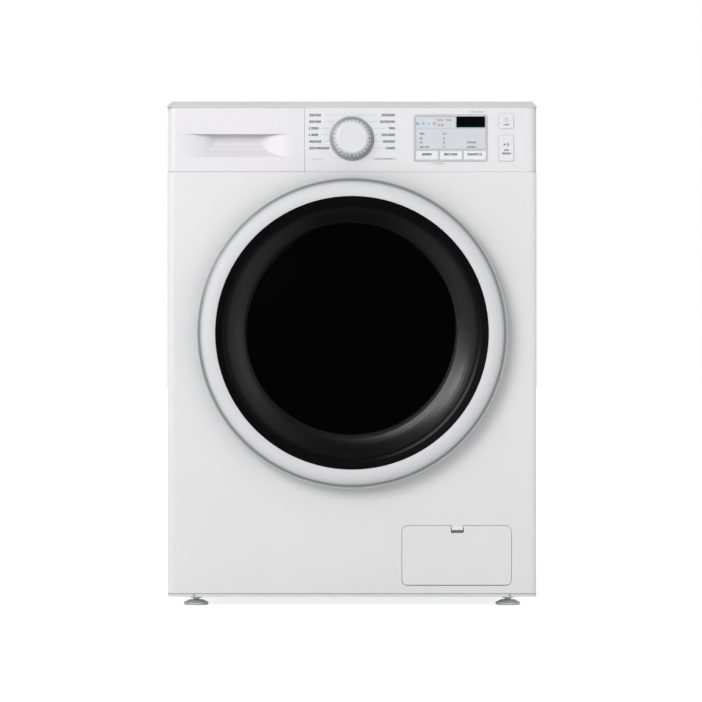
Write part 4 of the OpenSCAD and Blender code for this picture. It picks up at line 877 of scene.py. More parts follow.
class Solid:
    """Mesh in the making, in the machine's millimetres."""

    def __init__(self) -> None:
        """Starts with an empty mesh."""
        self.mesh = bmesh.new()

    def ring(self, points: Sequence[Vector]) -> list[bmesh.types.BMVert]:
        """Adds a row of points."""
        return [self.mesh.verts.new(p) for p in points]

    def skin(self, rows: Sequence[Sequence[bmesh.types.BMVert]], closed: bool) -> None:
        """Spans faces between neighbouring rows of points.

        Args:
            rows: Rows with the same number of points each.
            closed: Whether a row's last point joins its first.
        """
        for one, two in zip(rows, rows[1:]):
            count = len(one) if closed else len(one) - 1
            for i in range(count):
                j = (i + 1) % len(one)
                self.mesh.faces.new((one[i], one[j], two[j], two[i]))

    def turn(self, section: Sequence[Point], x: float, z: float, steps: int = 128,
             closed: bool = True) -> None:
        """Turns a section about an axis that runs front to back.

        Args:
            section: Radius and depth of each point.
            x: The axis from the middle of the machine.
            z: The axis above the floor.
            steps: How many steps go round.
            closed: Whether the section is a closed loop.
        """
        rows = [self.ring([at(x + r * math.cos(a), d, z + r * math.sin(a)) for r, d in section])
                for a in angles(steps)]
        self.skin([*rows, rows[0]], closed)

    def sleeve(self, section: Sequence[Point], x: float, depth: float, steps: int = 48) -> None:
        """Turns a closed section about an upright axis.

        Args:
            section: Radius and height of each point.
            x: The axis from the middle of the machine.
            depth: The axis behind the front panel.
            steps: How many steps go round.
        """
        rows = [self.ring([at(x + r * math.cos(a), depth + r * math.sin(a), z) for r, z in section])
                for a in angles(steps)]
        self.skin([*rows, rows[0]], True)

    def cap_ends(self, rows: Sequence[Sequence[bmesh.types.BMVert]]) -> None:
        """Closes a skin's first and last row with a face each."""
        self.mesh.faces.new(rows[0][::-1])
        self.mesh.faces.new(rows[-1])

    def slab(self, outline: Sequence[Point], d0: float, d1: float, rim: float = 0.0) -> None:
        """Makes a flat piece from an outline in x and z.

        Args:
            outline: Points that run round the piece.
            d0: Depth of the front face.
            d1: Depth of the rear face.
            rim: Width of the rounded front edge.
        """
        middle_x = sum(x for x, _ in outline) / len(outline)
        middle_z = sum(z for _, z in outline) / len(outline)
        cut = rim * RIM_CUT
        steps = ((rim, d0), (cut, d0 + cut), (0, d0 + rim), (0, d1)) if rim else ((0, d0), (0, d1))
        rows = []
        for inset, depth in steps:
            row = []
            for x, z in outline:
                reach = math.hypot(x - middle_x, z - middle_z) or 1
                row.append(at(x - inset * (x - middle_x) / reach, depth, z - inset * (z - middle_z) / reach))
            rows.append(self.ring(row))
        self.skin(rows, True)
        self.cap_ends(rows)

    def sweep(self, path: Sequence[Vector], section: Sequence[Point], loop: bool = False) -> None:
        """Draws a closed section along a path.

        Args:
            path: Points in the frame's metres.
            section: Outline across the path, sideways and upwards.
            loop: Whether the path is closed.
        """
        count = len(path)
        side = None
        rows = []
        for i, p in enumerate(path):
            ahead = path[(i + 1) % count] if loop or i < count - 1 else p
            behind = path[i - 1] if loop or i > 0 else p
            way = (ahead - behind).normalized()
            if side is None:
                side = way.orthogonal().normalized()
            side = (side - way * side.dot(way)).normalized()
            up = way.cross(side)
            rows.append(self.ring([p + (side * u + up * v) / 1000 for u, v in section]))
        self.skin([*rows, rows[0]] if loop else rows, True)
        if not loop:
            self.cap_ends(rows)

    def collar(self, outer: Sequence[Point], inner: Sequence[Point], d0: float, d1: float) -> None:
        """Makes a flat frame between two outlines with as many points.

        Args:
            outer: Points that run round the frame's outside.
            inner: Points that run round its opening.
            d0: Depth of the front face.
            d1: Depth of the rear face.
        """
        rows = [self.ring([at(x, d, z) for x, z in line])
                for line, d in ((outer, d0), (inner, d0), (inner, d1), (outer, d1))]
        self.skin([*rows, rows[0]], True)

    def frame_round(self, node: str, gaps: Point, radii: Point, d0: float, d1: float) -> None:
        """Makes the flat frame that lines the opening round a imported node.

        Args:
            node: The node that stands in the opening.
            gaps: How far the frame's outside and its opening stand off the node.
            radii: Radius of the corners of its outside and of its opening.
            d0: Depth of the front face.
            d1: Depth of the rear face.
        """
        x, z = middle(node)
        low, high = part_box(node)
        w, h = 1000 * (high.x - low.x), 1000 * (high.z - low.z)
        outer, inner = (plate(x, z, w + 2 * gap, h + 2 * gap, r) for gap, r in zip(gaps, radii))
        self.collar(outer, inner, d0, d1)

    def print_shape(self, outline: Sequence[Point], front: float, top: float = INK_TOP) -> None:
        """Prints a flat shape in thin ink.

        Args:
            outline: Points in x and z that run round the shape.
            front: Depth of the surface that carries it.
            top: How far it stands proud.
        """
        self.slab(outline, front - top, front + INK_ROOT)

    def print_ring(self, radii: Point, x: float, front: float, z: float, steps: int = 24,
                   top: float = INK_TOP) -> None:
        """Prints a ring in thin ink.

        Args:
            radii: Its inner and outer radius.
            x: Its middle from the middle of the machine.
            front: Depth of the surface that carries it.
            z: Its middle above the floor.
            steps: How many corners it has.
            top: How far it stands proud.
        """
        inner, outer = radii
        face_at, root_at = front - top, front + INK_ROOT
        self.turn([(inner, face_at), (outer, face_at), (outer, root_at), (inner, root_at)], x, z, steps)

    def print_number(self, text: str, x: float, depth: float, z: float, height: float,
                     align: Align = Align.LEFT, width: float = 0.0, bold: float = 0.0) -> None:
        """Adds plain figures in thin ink.

        Args:
            text: The figures.
            x: The end or the middle of the line, as it is aligned.
            depth: Depth of the surface that carries them.
            z: Height of their middle above the floor.
            height: Height of a figure.
            align: Which part of the line stands at x.
            width: How long the line is, or 0 for as long as it comes.
            bold: How much thicker each stroke is.
        """
        curve = bpy.data.curves.new("figures", "FONT")
        curve.body = text
        curve.size = (height - bold) / FIGURE_SHARE
        curve.offset = bold / 2
        curve.resolution_u = 3
        carrier = bpy.data.objects.new("figures", curve)
        bpy.context.scene.collection.objects.link(carrier)
        bpy.context.view_layer.update()
        drawn = bpy.data.meshes.new_from_object(carrier)
        start = len(self.mesh.verts)
        self.mesh.from_mesh(drawn)
        self.mesh.verts.ensure_lookup_table()
        made = self.mesh.verts[start:]
        low, high = min(v.co.x for v in made), max(v.co.x for v in made)
        stretch = width / (high - low) if width else 1.0
        for vert in made:
            across = (vert.co.x - low) * stretch - align.value * (high - low) * stretch
            vert.co = at(x + across, depth - INK_TOP, z - height / 2 + bold / 2 + vert.co.y)
        bpy.data.objects.remove(carrier)
        bpy.data.curves.remove(curve)
        bpy.data.meshes.remove(drawn)

    def piece(self, name: str, finish: Finish, body: str | None,
              smooth: float = 40.0) -> bpy.types.Object:
        """Turns the mesh into a piece of the machine.

        Args:
            name: The piece's name.
            finish: What it is made of.
            body: The body that it rides on, or None for a piece that rides on none.
            smooth: Edges that turn by less, in degrees, are shaded smooth.

        Returns:
            The new object.
        """
        bmesh.ops.recalc_face_normals(self.mesh, faces=self.mesh.faces)
        data = bpy.data.meshes.new(name)
        for polygon in self.mesh.faces:
            polygon.smooth = True
        for edge in self.mesh.edges:
            if len(edge.link_faces) == 2 and edge.calc_face_angle(0) > math.radians(smooth):
                edge.smooth = False
        self.mesh.to_mesh(data)
        self.mesh.free()
        data.materials.append(finish.material())
        thing = bpy.data.objects.new(name, data)
        bpy.context.scene.collection.objects.link(thing)
        if body:
            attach(thing, body)
        log.info("%s: %s", name, finish.name)
        return thing


def dress(finish: Finish, *nodes: str) -> None:
    """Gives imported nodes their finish.

    Args:
        finish: What they are made of.
        nodes: The names of the nodes.
    """
    for name in nodes:
        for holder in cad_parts[name].material_slots:
            holder.material = finish.material()
        log.info("%s: %s", name, finish.name)


def rounded(points: Sequence[Point], rounds: int = 3) -> list[Point]:
    """Cuts the corners of an open line until it runs smoothly.

    Args:
        points: The line's corners.
        rounds: How often the corners are cut.

    Returns:
        The points of the smooth line, which keeps its two ends.
    """
    line = list(points)
    for _ in range(rounds):
        cut = [line[0]]
        for (ax, ay), (bx, by) in zip(line, line[1:]):
            for share in (0.25, 0.75):
                cut.append((ax + (bx - ax) * share, ay + (by - ay) * share))
        cut.append(line[-1])
        line = cut
    return line


def band(line: Sequence[Point], thick: float, steps: int = 5) -> list[Point]:
    """Gives a line a thickness, with round ends.

    Args:
        line: Points of the middle line.
        thick: The thickness.
        steps: Steps round each end.

    Returns:
        The closed outline.
    """
    left, right = [], []
    last = len(line) - 1
    for i, (px, py) in enumerate(line):
        ax, ay = line[max(i - 1, 0)]
        bx, by = line[min(i + 1, last)]
        size = math.hypot(bx - ax, by - ay) or 1
        nx, ny = -(by - ay) / size * thick / 2, (bx - ax) / size * thick / 2
        left.append((px + nx, py + ny))
        right.append((px - nx, py - ny))
    ends = []
    for tip, start in ((line[-1], left[-1]), (line[0], right[0])):
        base = math.atan2(start[1] - tip[1], start[0] - tip[0])
        ends.append([(tip[0] + math.cos(base - math.pi * k / steps) * thick / 2,
                      tip[1] + math.sin(base - math.pi * k / steps) * thick / 2) for k in range(1, steps)])
    return left + ends[0] + right[::-1] + ends[1]


def plate(x: float, z: float, w: float, h: float, r: float, steps: int = 6) -> list[Point]:
    """Gives the outline of a rectangle with round corners.

    Args:
        x: Its middle across.
        z: Its middle above the floor.
        w: Its width.
        h: Its height.
        r: Radius of its corners.
        steps: Steps in each corner.

    Returns:
        The closed outline.
    """
    points = []
    for k, (sx, sz) in enumerate(((1, 1), (-1, 1), (-1, -1), (1, -1))):
        for i in range(steps + 1):
            a = math.pi / 2 * (k + i / steps)
            points.append((x + sx * (w / 2 - r) + r * math.cos(a), z + sz * (h / 2 - r) + r * math.sin(a)))
    return points


def disc(x: float, z: float, r: float, steps: int = 20) -> list[Point]:
    """Gives the outline of a round dot."""
    return [(x + r * math.cos(a), z + r * math.sin(a)) for a in angles(steps)]


@dataclass(frozen=True)
class Figures:
    """Line of plain figures, in millimetres, placed from the middle of the piece that carries it."""

    text: str
    shift: float
    rise: float
    height: float
    width: float
    bold: float = 0.0
    align: Align = Align.LEFT

    def lay(self, ink: Solid, x: float, front: float, z: float) -> None:
        """Prints the line.

        Args:
            ink: The print that takes it.
            x: The piece's middle across.
            front: Depth of the piece's surface.
            z: The piece's middle above the floor.
        """
        ink.print_number(self.text, x + self.shift, front, z + self.rise, self.height, self.align, self.width,
                         self.bold)


@dataclass(frozen=True)
class Patch:
    """Rectangle with round corners, in millimetres, placed from the middle of the piece that carries it."""

    shift: float
    rise: float
    width: float
    height: float
    corner: float
    steps: int = 6

    def outline(self, x: float, z: float) -> list[Point]:
        """Gives its outline.

        Args:
            x: The piece's middle across.
            z: The piece's middle above the floor.

        Returns:
            The closed outline.
        """
        return plate(x + self.shift, z + self.rise, self.width, self.height, self.corner, self.steps)


@dataclass(frozen=True)
class LampColumn:
    """Column of lines on the display: where its lamps and its figures stand, and which row it starts in."""

    lamps: float
    figures: float
    lines: Column
    first: int = 0


@dataclass
class Cabinet:
    """Painted shell with its cover, base and frame, in millimetres."""

    corner: float = 11.0
    clear: float = 0.1
    lip: float = 1.0
    strip: float = 3.0
    side_gap: float = 1.5
    bend_steps: int = 8

    def build(self) -> None:
        """Dresses the sheet metal and the mouldings that close it."""
        dress(PAINTED_STEEL, "left_side_panel", "right_side_panel", "front_panel", "filter_cover")
        dress(SHADED_COVER_PLASTIC, "top_cover")
        dress(ZINC, "rear_panel", "service_cover", "top_frame")
        dress(BASE_PLASTIC, "base_frame")
        dress(FOOT_RUBBER, "levelling_feet")
        dress(SCREW_ZINC, "panel_screws", "hinge_bracket", "hinge_leaf", "latch_hook")
        dress(BLACK_PLASTIC, "rear_fittings", "transit_caps", "door_lock")
        dress(TRAY_PLASTIC, "filter_surround")
        self.seal_lips()

    def seal_lips(self) -> None:
        """Lays the lips that back the joints between panel, console, drawer, cover and sides."""
        panel, console, drawer, cover = (
            [[1000 * value for value in corner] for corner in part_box(node)]
            for node in ("front_panel", "console_panel", "drawer_front", "top_cover"))
        half, low, high = console[1][0], console[0][2], console[1][2]
        lips = Solid()
        for left, right, depth in ((drawer[1][0] + self.clear, console[0][0], self.lip),
                                   (half + self.clear, half + self.side_gap, self.corner + self.lip),
                                   (-half - self.side_gap, -half - self.clear, self.corner + self.lip)):
            lips.slab([(left, low), (right, low), (right, high), (left, high)], depth, depth + self.strip)
        plan = self.plan(half)
        for z0, z1 in ((panel[1][2], low - self.clear), (high + self.clear, cover[0][2])):
            rows = [lips.ring([at(x, depth, z) for x, depth in plan]) for z in (z0, z1)]
            lips.skin(rows, True)
            lips.cap_ends(rows)
        lips.piece("joint_lips", WHITE_ABS, "cabinet")

    def plan(self, half: float) -> list[Point]:
        """Gives the outline, seen from above, of the lips over and under the console.

        Args:
            half: Half the console's width.

        Returns:
            Points with x and depth, from the right rear round the front to the left rear.
        """
        radius = self.corner - self.lip
        bend = [(half - self.corner + radius * math.cos(a), self.corner - radius * math.sin(a))
                for a in (math.pi / 2 * k / self.bend_steps for k in range(self.bend_steps + 1))]
        mirrored = [(-x, depth) for x, depth in reversed(bend)]
        rear = self.corner + self.strip
        return [(half - self.lip, rear), *bend, *mirrored, (self.lip - half, rear)]


@dataclass
class Console:
    """Control panel with its knob, keys, buttons and printed figures.

    Lengths are millimetres, and places on the panel are measured from the knob's axis. A column lists what
    each line says and how long it is, and spans list where each leader line starts and ends.
    """

    row: float = 10.7
    rise: float = 38.4
    reach: float = 69.8
    figure: float = 4.6
    bold: float = 0.45
    thin: float = 0.5
    gap: float = 0.4
    clear: float = 0.1
    button_round: float = 4.0
    liner: Point = (0.7, 1.6)
    left_column: Column = (("20/30", 19.5), ("30/40", 19.5), ("1200", 15.6), ("1400", 15.1),
                           ("40/60", 20.2), ("20/40/60", 33.1))
    right_column: Column = (("30/60", 22.2), ("20/30/40", 24.3), ("90", 10.4), ("20/400", 22.2),
                            ("30/50", 20.1), ("1600", 15.4))
    left_spans: tuple[Point, ...] = ((7.8, 41.4), (29.5, 43.0), (37.8, 50.3), (37.8, 48.6), (34.7, 43.8))
    right_spans: tuple[Point, ...] = ((8.8, 40.4), (27.6, 40.5), (32.4, 55.1), (35.7, 42.8), (35.7, 45.4),
                                      (33.6, 49.1))
    hook: Point = (5.2, 3.2)
    faint_mark: Figures = Figures("1 2345 67", -69.9, -32.6, height=2.6, width=23.9)
    long_mark: Figures = Figures("1234567890", 35.2, -32.6, height=3.0, width=30.5, bold=0.2)
    foot_ring: Point = (1.6, 2.1)
    foot_ring_at: Point = (69.3, -32.6)
    power_ring: Point = (2.5, 3.0)
    power_ring_rise: float = 2.4
    power_bar: Patch = Patch(0.0, 4.9, width=0.6, height=2.6, corner=0.3, steps=2)
    power_bar_top: float = 0.06
    power_figures: Figures = Figures("100", 0.0, -5.6, 3.4, 8.6, 0.3, Align.MIDDLE)
    arrow: tuple[Point, ...] = ((-4.4, 8.6), (-4.4, 3.4), (-0.4, 6.0))
    bars: tuple[Patch, ...] = (Patch(1.6, 6.0, width=1.2, height=5.0, corner=0.3, steps=2),
                               Patch(3.6, 6.0, width=1.2, height=5.0, corner=0.3, steps=2))
    start_figures: tuple[Figures, ...] = (Figures("20", 0.0, -3.0, 3.4, 8.5, 0.4, Align.MIDDLE),
                                          Figures("4060", 0.0, -8.4, 3.8, 15.0, 0.5, Align.MIDDLE))
    x: float = field(init=False)
    z: float = field(init=False)

    def build(self) -> None:
        """Dresses the mouldings and prints the panel."""
        dress(WHITE_ABS, "console_panel", "power_button", "start_button")
        dress(SILVER_LACQUER, "display_frame")
        dress(PEARL_KEYS, "option_key_left", "option_key_middle", "option_key_right")
        dress(KNOB_PEARL, "program_knob")
        dress(BOARD, "control_board")
        self.x, self.z = middle("program_knob")
        self.print_dial()
        self.print_leaders()
        self.print_foot()
        self.print_power()
        self.print_start()
        self.line_buttons()

    def print_dial(self) -> None:
        """Prints plain figures in two columns beside the dial."""
        ink = Solid()
        columns = ((-1, self.left_column, Align.LEFT), (1, self.right_column, Align.RIGHT))
        for side, column, align in columns:
            for i, (text, width) in enumerate(column):
                ink.print_number(text, self.x + side * self.reach, 0, self.z + self.rise - i * self.row,
                                 self.figure, align, width, self.bold)
        ink.piece("dial_figures", DARK_INK, "cabinet")

    def print_leaders(self) -> None:
        """Prints the thin lines that lead from the figures to the dial, and the faint mark below them."""
        lines = Solid()
        for side, spans in ((-1, self.left_spans), (1, self.right_spans)):
            for i, (near, far) in enumerate(spans):
                height = self.rise - i * self.row
                self.stroke(lines, (side * near, height), (side * far, height))
            across, down = self.hook
            self.stroke(lines, (side * spans[0][0], self.rise), (side * across, self.rise - down))
        self.faint_mark.lay(lines, self.x, 0, self.z)
        lines.piece("dial_lines", THIN_INK, "cabinet")

    def print_foot(self) -> None:
        """Prints the long mark and the ring below the right column."""
        marks = Solid()
        self.long_mark.lay(marks, self.x, 0, self.z)
        across, up = self.foot_ring_at
        marks.print_ring(self.foot_ring, self.x + across, 0, self.z + up)
        marks.piece("dial_marks", GREY_INK, "cabinet")

    def stroke(self, ink: Solid, start: Point, end: Point) -> None:
        """Prints a thin straight line.

        Args:
            ink: The print that takes it.
            start: Its first end, measured from the knob's axis.
            end: Its other end.
        """
        ends = [(self.x + x, self.z + z) for x, z in (start, end)]
        ink.print_shape(band(ends, self.thin), 0)

    def print_power(self) -> None:
        """Prints the ring with its bar and the figures below on the power button."""
        x, z = middle("power_button")
        front = face("power_button")
        mark = Solid()
        mark.print_ring(self.power_ring, x, front, z + self.power_ring_rise, steps=32)
        mark.print_shape(self.power_bar.outline(x, z), front, self.power_bar_top)
        self.power_figures.lay(mark, x, front, z)
        mark.piece("power_mark", GREY_INK, "power")

    def print_start(self) -> None:
        """Prints the arrow, the two bars and the figures below on the start button."""
        x, z = middle("start_button")
        front = face("start_button")
        mark = Solid()
        mark.print_shape([(x + across, z + up) for across, up in self.arrow], front)
        for bar in self.bars:
            mark.print_shape(bar.outline(x, z), front)
        for line in self.start_figures:
            line.lay(mark, x, front, z)
        mark.piece("start_mark", GREY_INK, "start")

    def line_buttons(self) -> None:
        """Lines the edges of the openings that the buttons stand in."""
        liner = Solid()
        for node in ("power_button", "start_button"):
            corners = (self.button_round, self.button_round - self.gap)
            liner.frame_round(node, (self.gap, self.clear), corners, *self.liner)
        liner.piece("button_liners", WHITE_ABS, "cabinet")


@dataclass
class Display:
    """Printed face of the display with its window, lamps and marks.

    Lengths are millimetres, and places on the face are measured from the middle of its frame.
    """

    glow: Patch = Patch(31.6, 25.5, width=47.4, height=18.6, corner=1.2)
    glow_stand: float = 0.2
    pane: Patch = Patch(32.4, 26.3, width=46.4, height=17.6, corner=1.0)
    pane_stand: float = 0.35
    tint: Patch = Patch(-43.0, 25.5, width=26.0, height=15.0, corner=1.5)
    divider: Patch = Patch(0.0, 15.8, width=110.0, height=0.5, corner=0.2, steps=2)
    rows: tuple[float, ...] = (7.0, -0.5, -7.0, -14.4)
    columns: tuple[LampColumn, ...] = (
        LampColumn(-54.5, -50.9, (("90", 8.3), ("60", 5.0), ("40", 5.0), ("20 30", 15.5))),
        LampColumn(-15.4, -12.6, (("14", 5.7), ("12", 3.5), ("8", 3.0), ("4", 3.0))),
        LampColumn(22.7, 26.3, (("3045", 15.0), ("6090", 14.0)), first=2),
    )
    figure: float = 3.4
    bold: float = 0.35
    symbols: tuple[tuple[float, int], ...] = ((-53.7, 20), (-44.4, 4), (-35.7, 3), (-26.6, 6))
    symbol_rise: float = 23.5
    symbol_ring: Point = (0.7, 2.0)
    symbol_top: float = 0.08
    pairs: tuple[tuple[float, float, float], ...] = ((-18.6, 29.3, 6.0), (-18.6, 21.2, 6.5),
                                                     (-5.0, 29.3, 6.0))
    mark_above: Figures = Figures("123 456", 31.1, 42.6, height=2.8, width=22.2)
    mark_below: Figures = Figures("123456", -32.2, -41.0, height=2.8, width=21.0)
    dots: tuple[Point, ...] = ((-20.9, 29.3), (-20.9, 21.2), (-7.3, 29.3))
    dot: float = 1.4
    key_figures: tuple[Figures, ...] = (Figures("6090", 0.0, 1.8, 4.2, 16.0, 0.5, Align.MIDDLE),
                                        Figures("80/1200", 0.0, 1.8, 4.2, 22.0, 0.5, Align.MIDDLE),
                                        Figures("3/6/9/12", 0.0, 1.8, 4.2, 24.0, 0.5, Align.MIDDLE))
    lamp: float = 1.2
    lamp_stand: float = 0.3
    lamp_root: float = 0.1
    lamp_rim: float = 0.15
    gap: float = 0.4
    clear: float = 0.1
    key_round: float = 1.5
    liner: float = -0.4
    liner_thick: float = 1.2
    x: float = field(init=False)
    z: float = field(init=False)
    front: float = field(init=False)

    def build(self) -> None:
        """Dresses the face and lays its prints and lamps on it."""
        dress(DISPLAY_FACE, "display_window")
        self.x, self.z = middle("display_frame")
        self.front = face("display_window")
        self.window()
        self.fields()
        self.marks()
        self.panel_marks()
        self.rose_marks()
        self.keys()
        self.lamps()

    def window(self) -> None:
        """Sets the dark number window with its lit edge."""
        glow = Solid()
        glow.slab(self.glow.outline(self.x, self.z), self.front - self.glow_stand,
                  self.front + self.glow_stand)
        glow.piece("window_glow", TEAL_GLOW, "cabinet")
        dark = Solid()
        dark.slab(self.pane.outline(self.x, self.z), self.front - self.pane_stand, self.front)
        dark.piece("number_window", SMOKED_WINDOW, "cabinet")

    def fields(self) -> None:
        """Prints the tinted field and the line under the window."""
        tint = Solid()
        tint.print_shape(self.tint.outline(self.x, self.z), self.front, INK_TOP / 2)
        tint.piece("tinted_field", SKY_INK, "cabinet")
        line = Solid()
        line.print_shape(self.divider.outline(self.x, self.z), self.front)
        line.piece("display_lines", THIN_INK, "cabinet")

    def marks(self) -> None:
        """Prints a row of plain symbols and the columns of figures."""
        dark = Solid()
        for shift, corners in self.symbols:
            dark.print_ring(self.symbol_ring, self.x + shift, self.front, self.z + self.symbol_rise, corners,
                            self.symbol_top)
        for column in self.columns:
            for (text, width), rise in zip(column.lines, self.rows[column.first:]):
                self.figures(dark, text, column.figures, rise, width)
        for shift, rise, width in self.pairs:
            self.figures(dark, "12", shift, rise, width)
        dark.piece("display_marks", GREY_INK, "cabinet")

    def figures(self, ink: Solid, text: str, shift: float, rise: float, width: float) -> None:
        """Prints bold figures on the face.

        Args:
            ink: The print that takes them.
            text: The figures.
            shift: Their left end, measured from the middle of the frame.
            rise: Their height above it.
            width: How long they are.
        """
        ink.print_number(text, self.x + shift, self.front, self.z + rise, height=self.figure, width=width,
                         bold=self.bold)

    def panel_marks(self) -> None:
        """Prints the small figures above and below the frame."""
        marks = Solid()
        self.mark_above.lay(marks, self.x, 0, self.z)
        self.mark_below.lay(marks, self.x, 0, self.z)
        marks.piece("panel_marks", GREY_INK, "cabinet")

    def rose_marks(self) -> None:
        """Prints the three rose dots."""
        rose = Solid()
        for shift, rise in self.dots:
            rose.print_shape(disc(self.x + shift, self.z + rise, self.dot), self.front)
        rose.piece("rose_marks", ROSE_INK, "cabinet")

    def keys(self) -> None:
        """Prints plain figures on the option keys and lines the gaps round them."""
        liner = Solid()
        for place, line in zip(("left", "middle", "right"), self.key_figures):
            node = "option_key_" + place
            x, z = middle(node)
            key = Solid()
            line.lay(key, x, face(node), z)
            key.piece(node + "_figures", DARK_INK, "option_" + place)
            corners = (self.key_round + self.gap, self.key_round + self.clear)
            liner.frame_round(node, (self.gap, self.clear), corners, self.liner,
                              self.liner + self.liner_thick)
        liner.piece("key_liners", WHITE_ABS, "cabinet")

    def lamps(self) -> None:
        """Sets the small diodes beside their figures."""
        lenses = Solid()
        for column in self.columns:
            for rise in self.rows[column.first:]:
                lens = disc(self.x + column.lamps, self.z + rise, self.lamp)
                lenses.slab(lens, self.front - self.lamp_stand, self.front + self.lamp_root, self.lamp_rim)
        lenses.piece("display_diodes", BLUE_DIODE, "cabinet")


@dataclass
class Drawer:
    """Detergent drawer, its housing and the water valve."""

    def build(self) -> None:
        """Dresses the drawer's mouldings."""
        dress(DRAWER_ABS, "drawer_front")
        dress(TRAY_PLASTIC, "detergent_drawer")
        dress(BLUE_PLASTIC, "siphon_insert")
        dress(TUB_PLASTIC, "dispenser_housing")
        dress(VALVE_PLASTIC, "inlet_valve")


@dataclass
class Door:
    """Porthole door with its rings, pane and bowl."""

    def build(self) -> None:
        """Dresses the door."""
        dress(SHADED_RING_ABS, "door_outer_ring")
        dress(TRIM_GREY, "door_trim_ring")
        dress(PANE_BLACK, "door_pane")
        dress(BOWL_GLASS, "door_bowl")
        dress(FRAME_ABS, "door_inner_frame")


@dataclass
class Gasket:
    """Rubber bellows between the mouth of the cabinet and the tub, as radius and depth in millimetres."""

    bead: tuple[Point, ...] = ((172.7, 11.2), (175.7, 11.2), (175.7, 24.3), (177.5, 24.3), (177.5, 12.0),
                               (181.0, 12.0), (181.0, 27.0), (179.6, 28.0), (172.7, 28.0))
    lip: tuple[Point, ...] = ((174.2, 16.0), (166.0, 11.5), (157.4, 9.5), (154.7, 9.5))
    folds: tuple[Point, ...] = ((174.2, 26.0), (174.2, 32.0), (184.5, 33.5), (184.5, 41.5), (168.0, 43.0),
                                (168.0, 51.0), (185.3, 53.0), (185.3, 60.0), (185.3, 72.0))
    lip_thick: float = 2.4
    fold_thick: float = 3.0
    steps: int = 160
    bend_from: float = 30.0
    bend_to: float = 58.0

    def build(self) -> None:
        """Turns the bead, the lip and the folds in place of the imported gasket."""
        x, z = middle("door_gasket")
        rubber = Solid()
        lip = band(rounded(self.lip), self.lip_thick)
        folds = band(rounded(self.folds), self.fold_thick)
        for section in (self.bead, lip, folds):
            rubber.turn(section, x, z, self.steps)
        bellows = rubber.piece("gasket_bellows", GASKET_RUBBER, None, 60)
        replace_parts(bellows, "door_gasket")
        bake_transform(bellows)


@dataclass(frozen=True)
class Sleeve:
    """Sizes of a corrugated rubber sleeve between two upright spigots, in millimetres."""

    name: str
    x: float
    depth: float
    radius: float
    low: float
    high: float
    waves: int
    below: str
    above: str
    bend_from: float
    bend_to: float


@dataclass
class Hoses:
    """Rubber sleeves and hoses inside the cabinet, in millimetres."""

    dispenser: Sleeve = Sleeve("dispenser_sleeve", x=-189.75, depth=187.0, radius=19.3, low=652.0, high=717.7,
                               waves=3, below="tub", above="cabinet", bend_from=664.0, bend_to=706.0)
    sump: Sleeve = Sleeve("sump_sleeve", x=169.7, depth=96.0, radius=17.3, low=118.0, high=221.0, waves=5,
                          below="cabinet", above="tub", bend_from=130.0, bend_to=209.0)
    wall: float = 2.0
    wave: float = 5.0
    cuff: float = 10.0
    shoulder: float = 2.0
    inlet_x: float = -178.75
    inlet_z: float = 762.0
    inlet_from: float = 290.0
    inlet_length: float = 231.5
    inlet_radius: float = 8.0
    inlet_steps: int = 24
    drain_x: float = 241.7
    drain_z: float = 68.0
    drain_from: float = 205.7
    drain_depth: float = 125.0
    drain_bend: float = 24.0
    drain_length: float = 391.8
    drain_radius: float = 14.0
    bend_steps: int = 12
    back_steps: int = 40

    def build(self) -> None:
        """Makes the two sleeves, and the two fixed hoses."""
        self.sleeve(self.dispenser)
        self.sleeve(self.sump)
        self.hose("inlet_hose", self.inlet_path(), self.inlet_radius)
        self.hose("drain_hose", self.drain_path(), self.drain_radius)

    def sleeve(self, sizes: Sleeve) -> None:
        """Makes a corrugated sleeve between the bodies below and above it.

        Args:
            sizes: Its sizes and its two bodies.
        """
        r, low, high = sizes.radius, sizes.low, sizes.high
        plain = self.cuff + self.shoulder
        step = (high - low - 2 * plain) / (2 * sizes.waves)
        line = [(r, low), (r, low + self.cuff)]
        for i in range(2 * sizes.waves):
            line.append((r if i % 2 else r + self.wave, low + plain + (i + 0.5) * step))
        line += [(r, high - self.cuff), (r, high)]
        rubber = Solid()
        rubber.sleeve(band(rounded(line, 2), self.wall), sizes.x, sizes.depth)
        thing = rubber.piece(sizes.name, HOSE_RUBBER, None, 70)
        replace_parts(thing, "tub_hoses")
        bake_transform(thing)

    def hose(self, name: str, path: Sequence[Vector], radius: float) -> None:
        """Draws a smooth fixed hose along a path.

        Args:
            name: The piece's name.
            path: Its route in metres.
            radius: Its outer radius.
        """
        rubber = Solid()
        rubber.sweep(path, disc(0, 0, radius, 24))
        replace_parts(rubber.piece(name, HOSE_RUBBER, "cabinet", 50), "inside_hoses")

    def inlet_path(self) -> list[Vector]:
        """Runs straight from the valve to the rear fitting."""
        return [at(self.inlet_x, self.inlet_from + self.inlet_length * i / self.inlet_steps, self.inlet_z)
                for i in range(self.inlet_steps + 1)]

    def drain_path(self) -> list[Vector]:
        """Runs from the pump to the side, bends backwards and ends at the rear spigot.

        Returns:
            The route in metres.
        """
        r, z = self.drain_bend, self.drain_z
        x, depth = self.drain_x - r, self.drain_depth + r
        start = [at(self.drain_from + 3 * i, self.drain_depth, z) for i in range(4)]
        bend = [at(x + r * math.sin(a), depth - r * math.cos(a), z)
                for a in (math.pi / 2 * i / self.bend_steps for i in range(self.bend_steps + 1))]
        back = [at(self.drain_x, depth + self.drain_length * i / self.back_steps, z)
                for i in range(1, self.back_steps + 1)]
        return start + bend + back


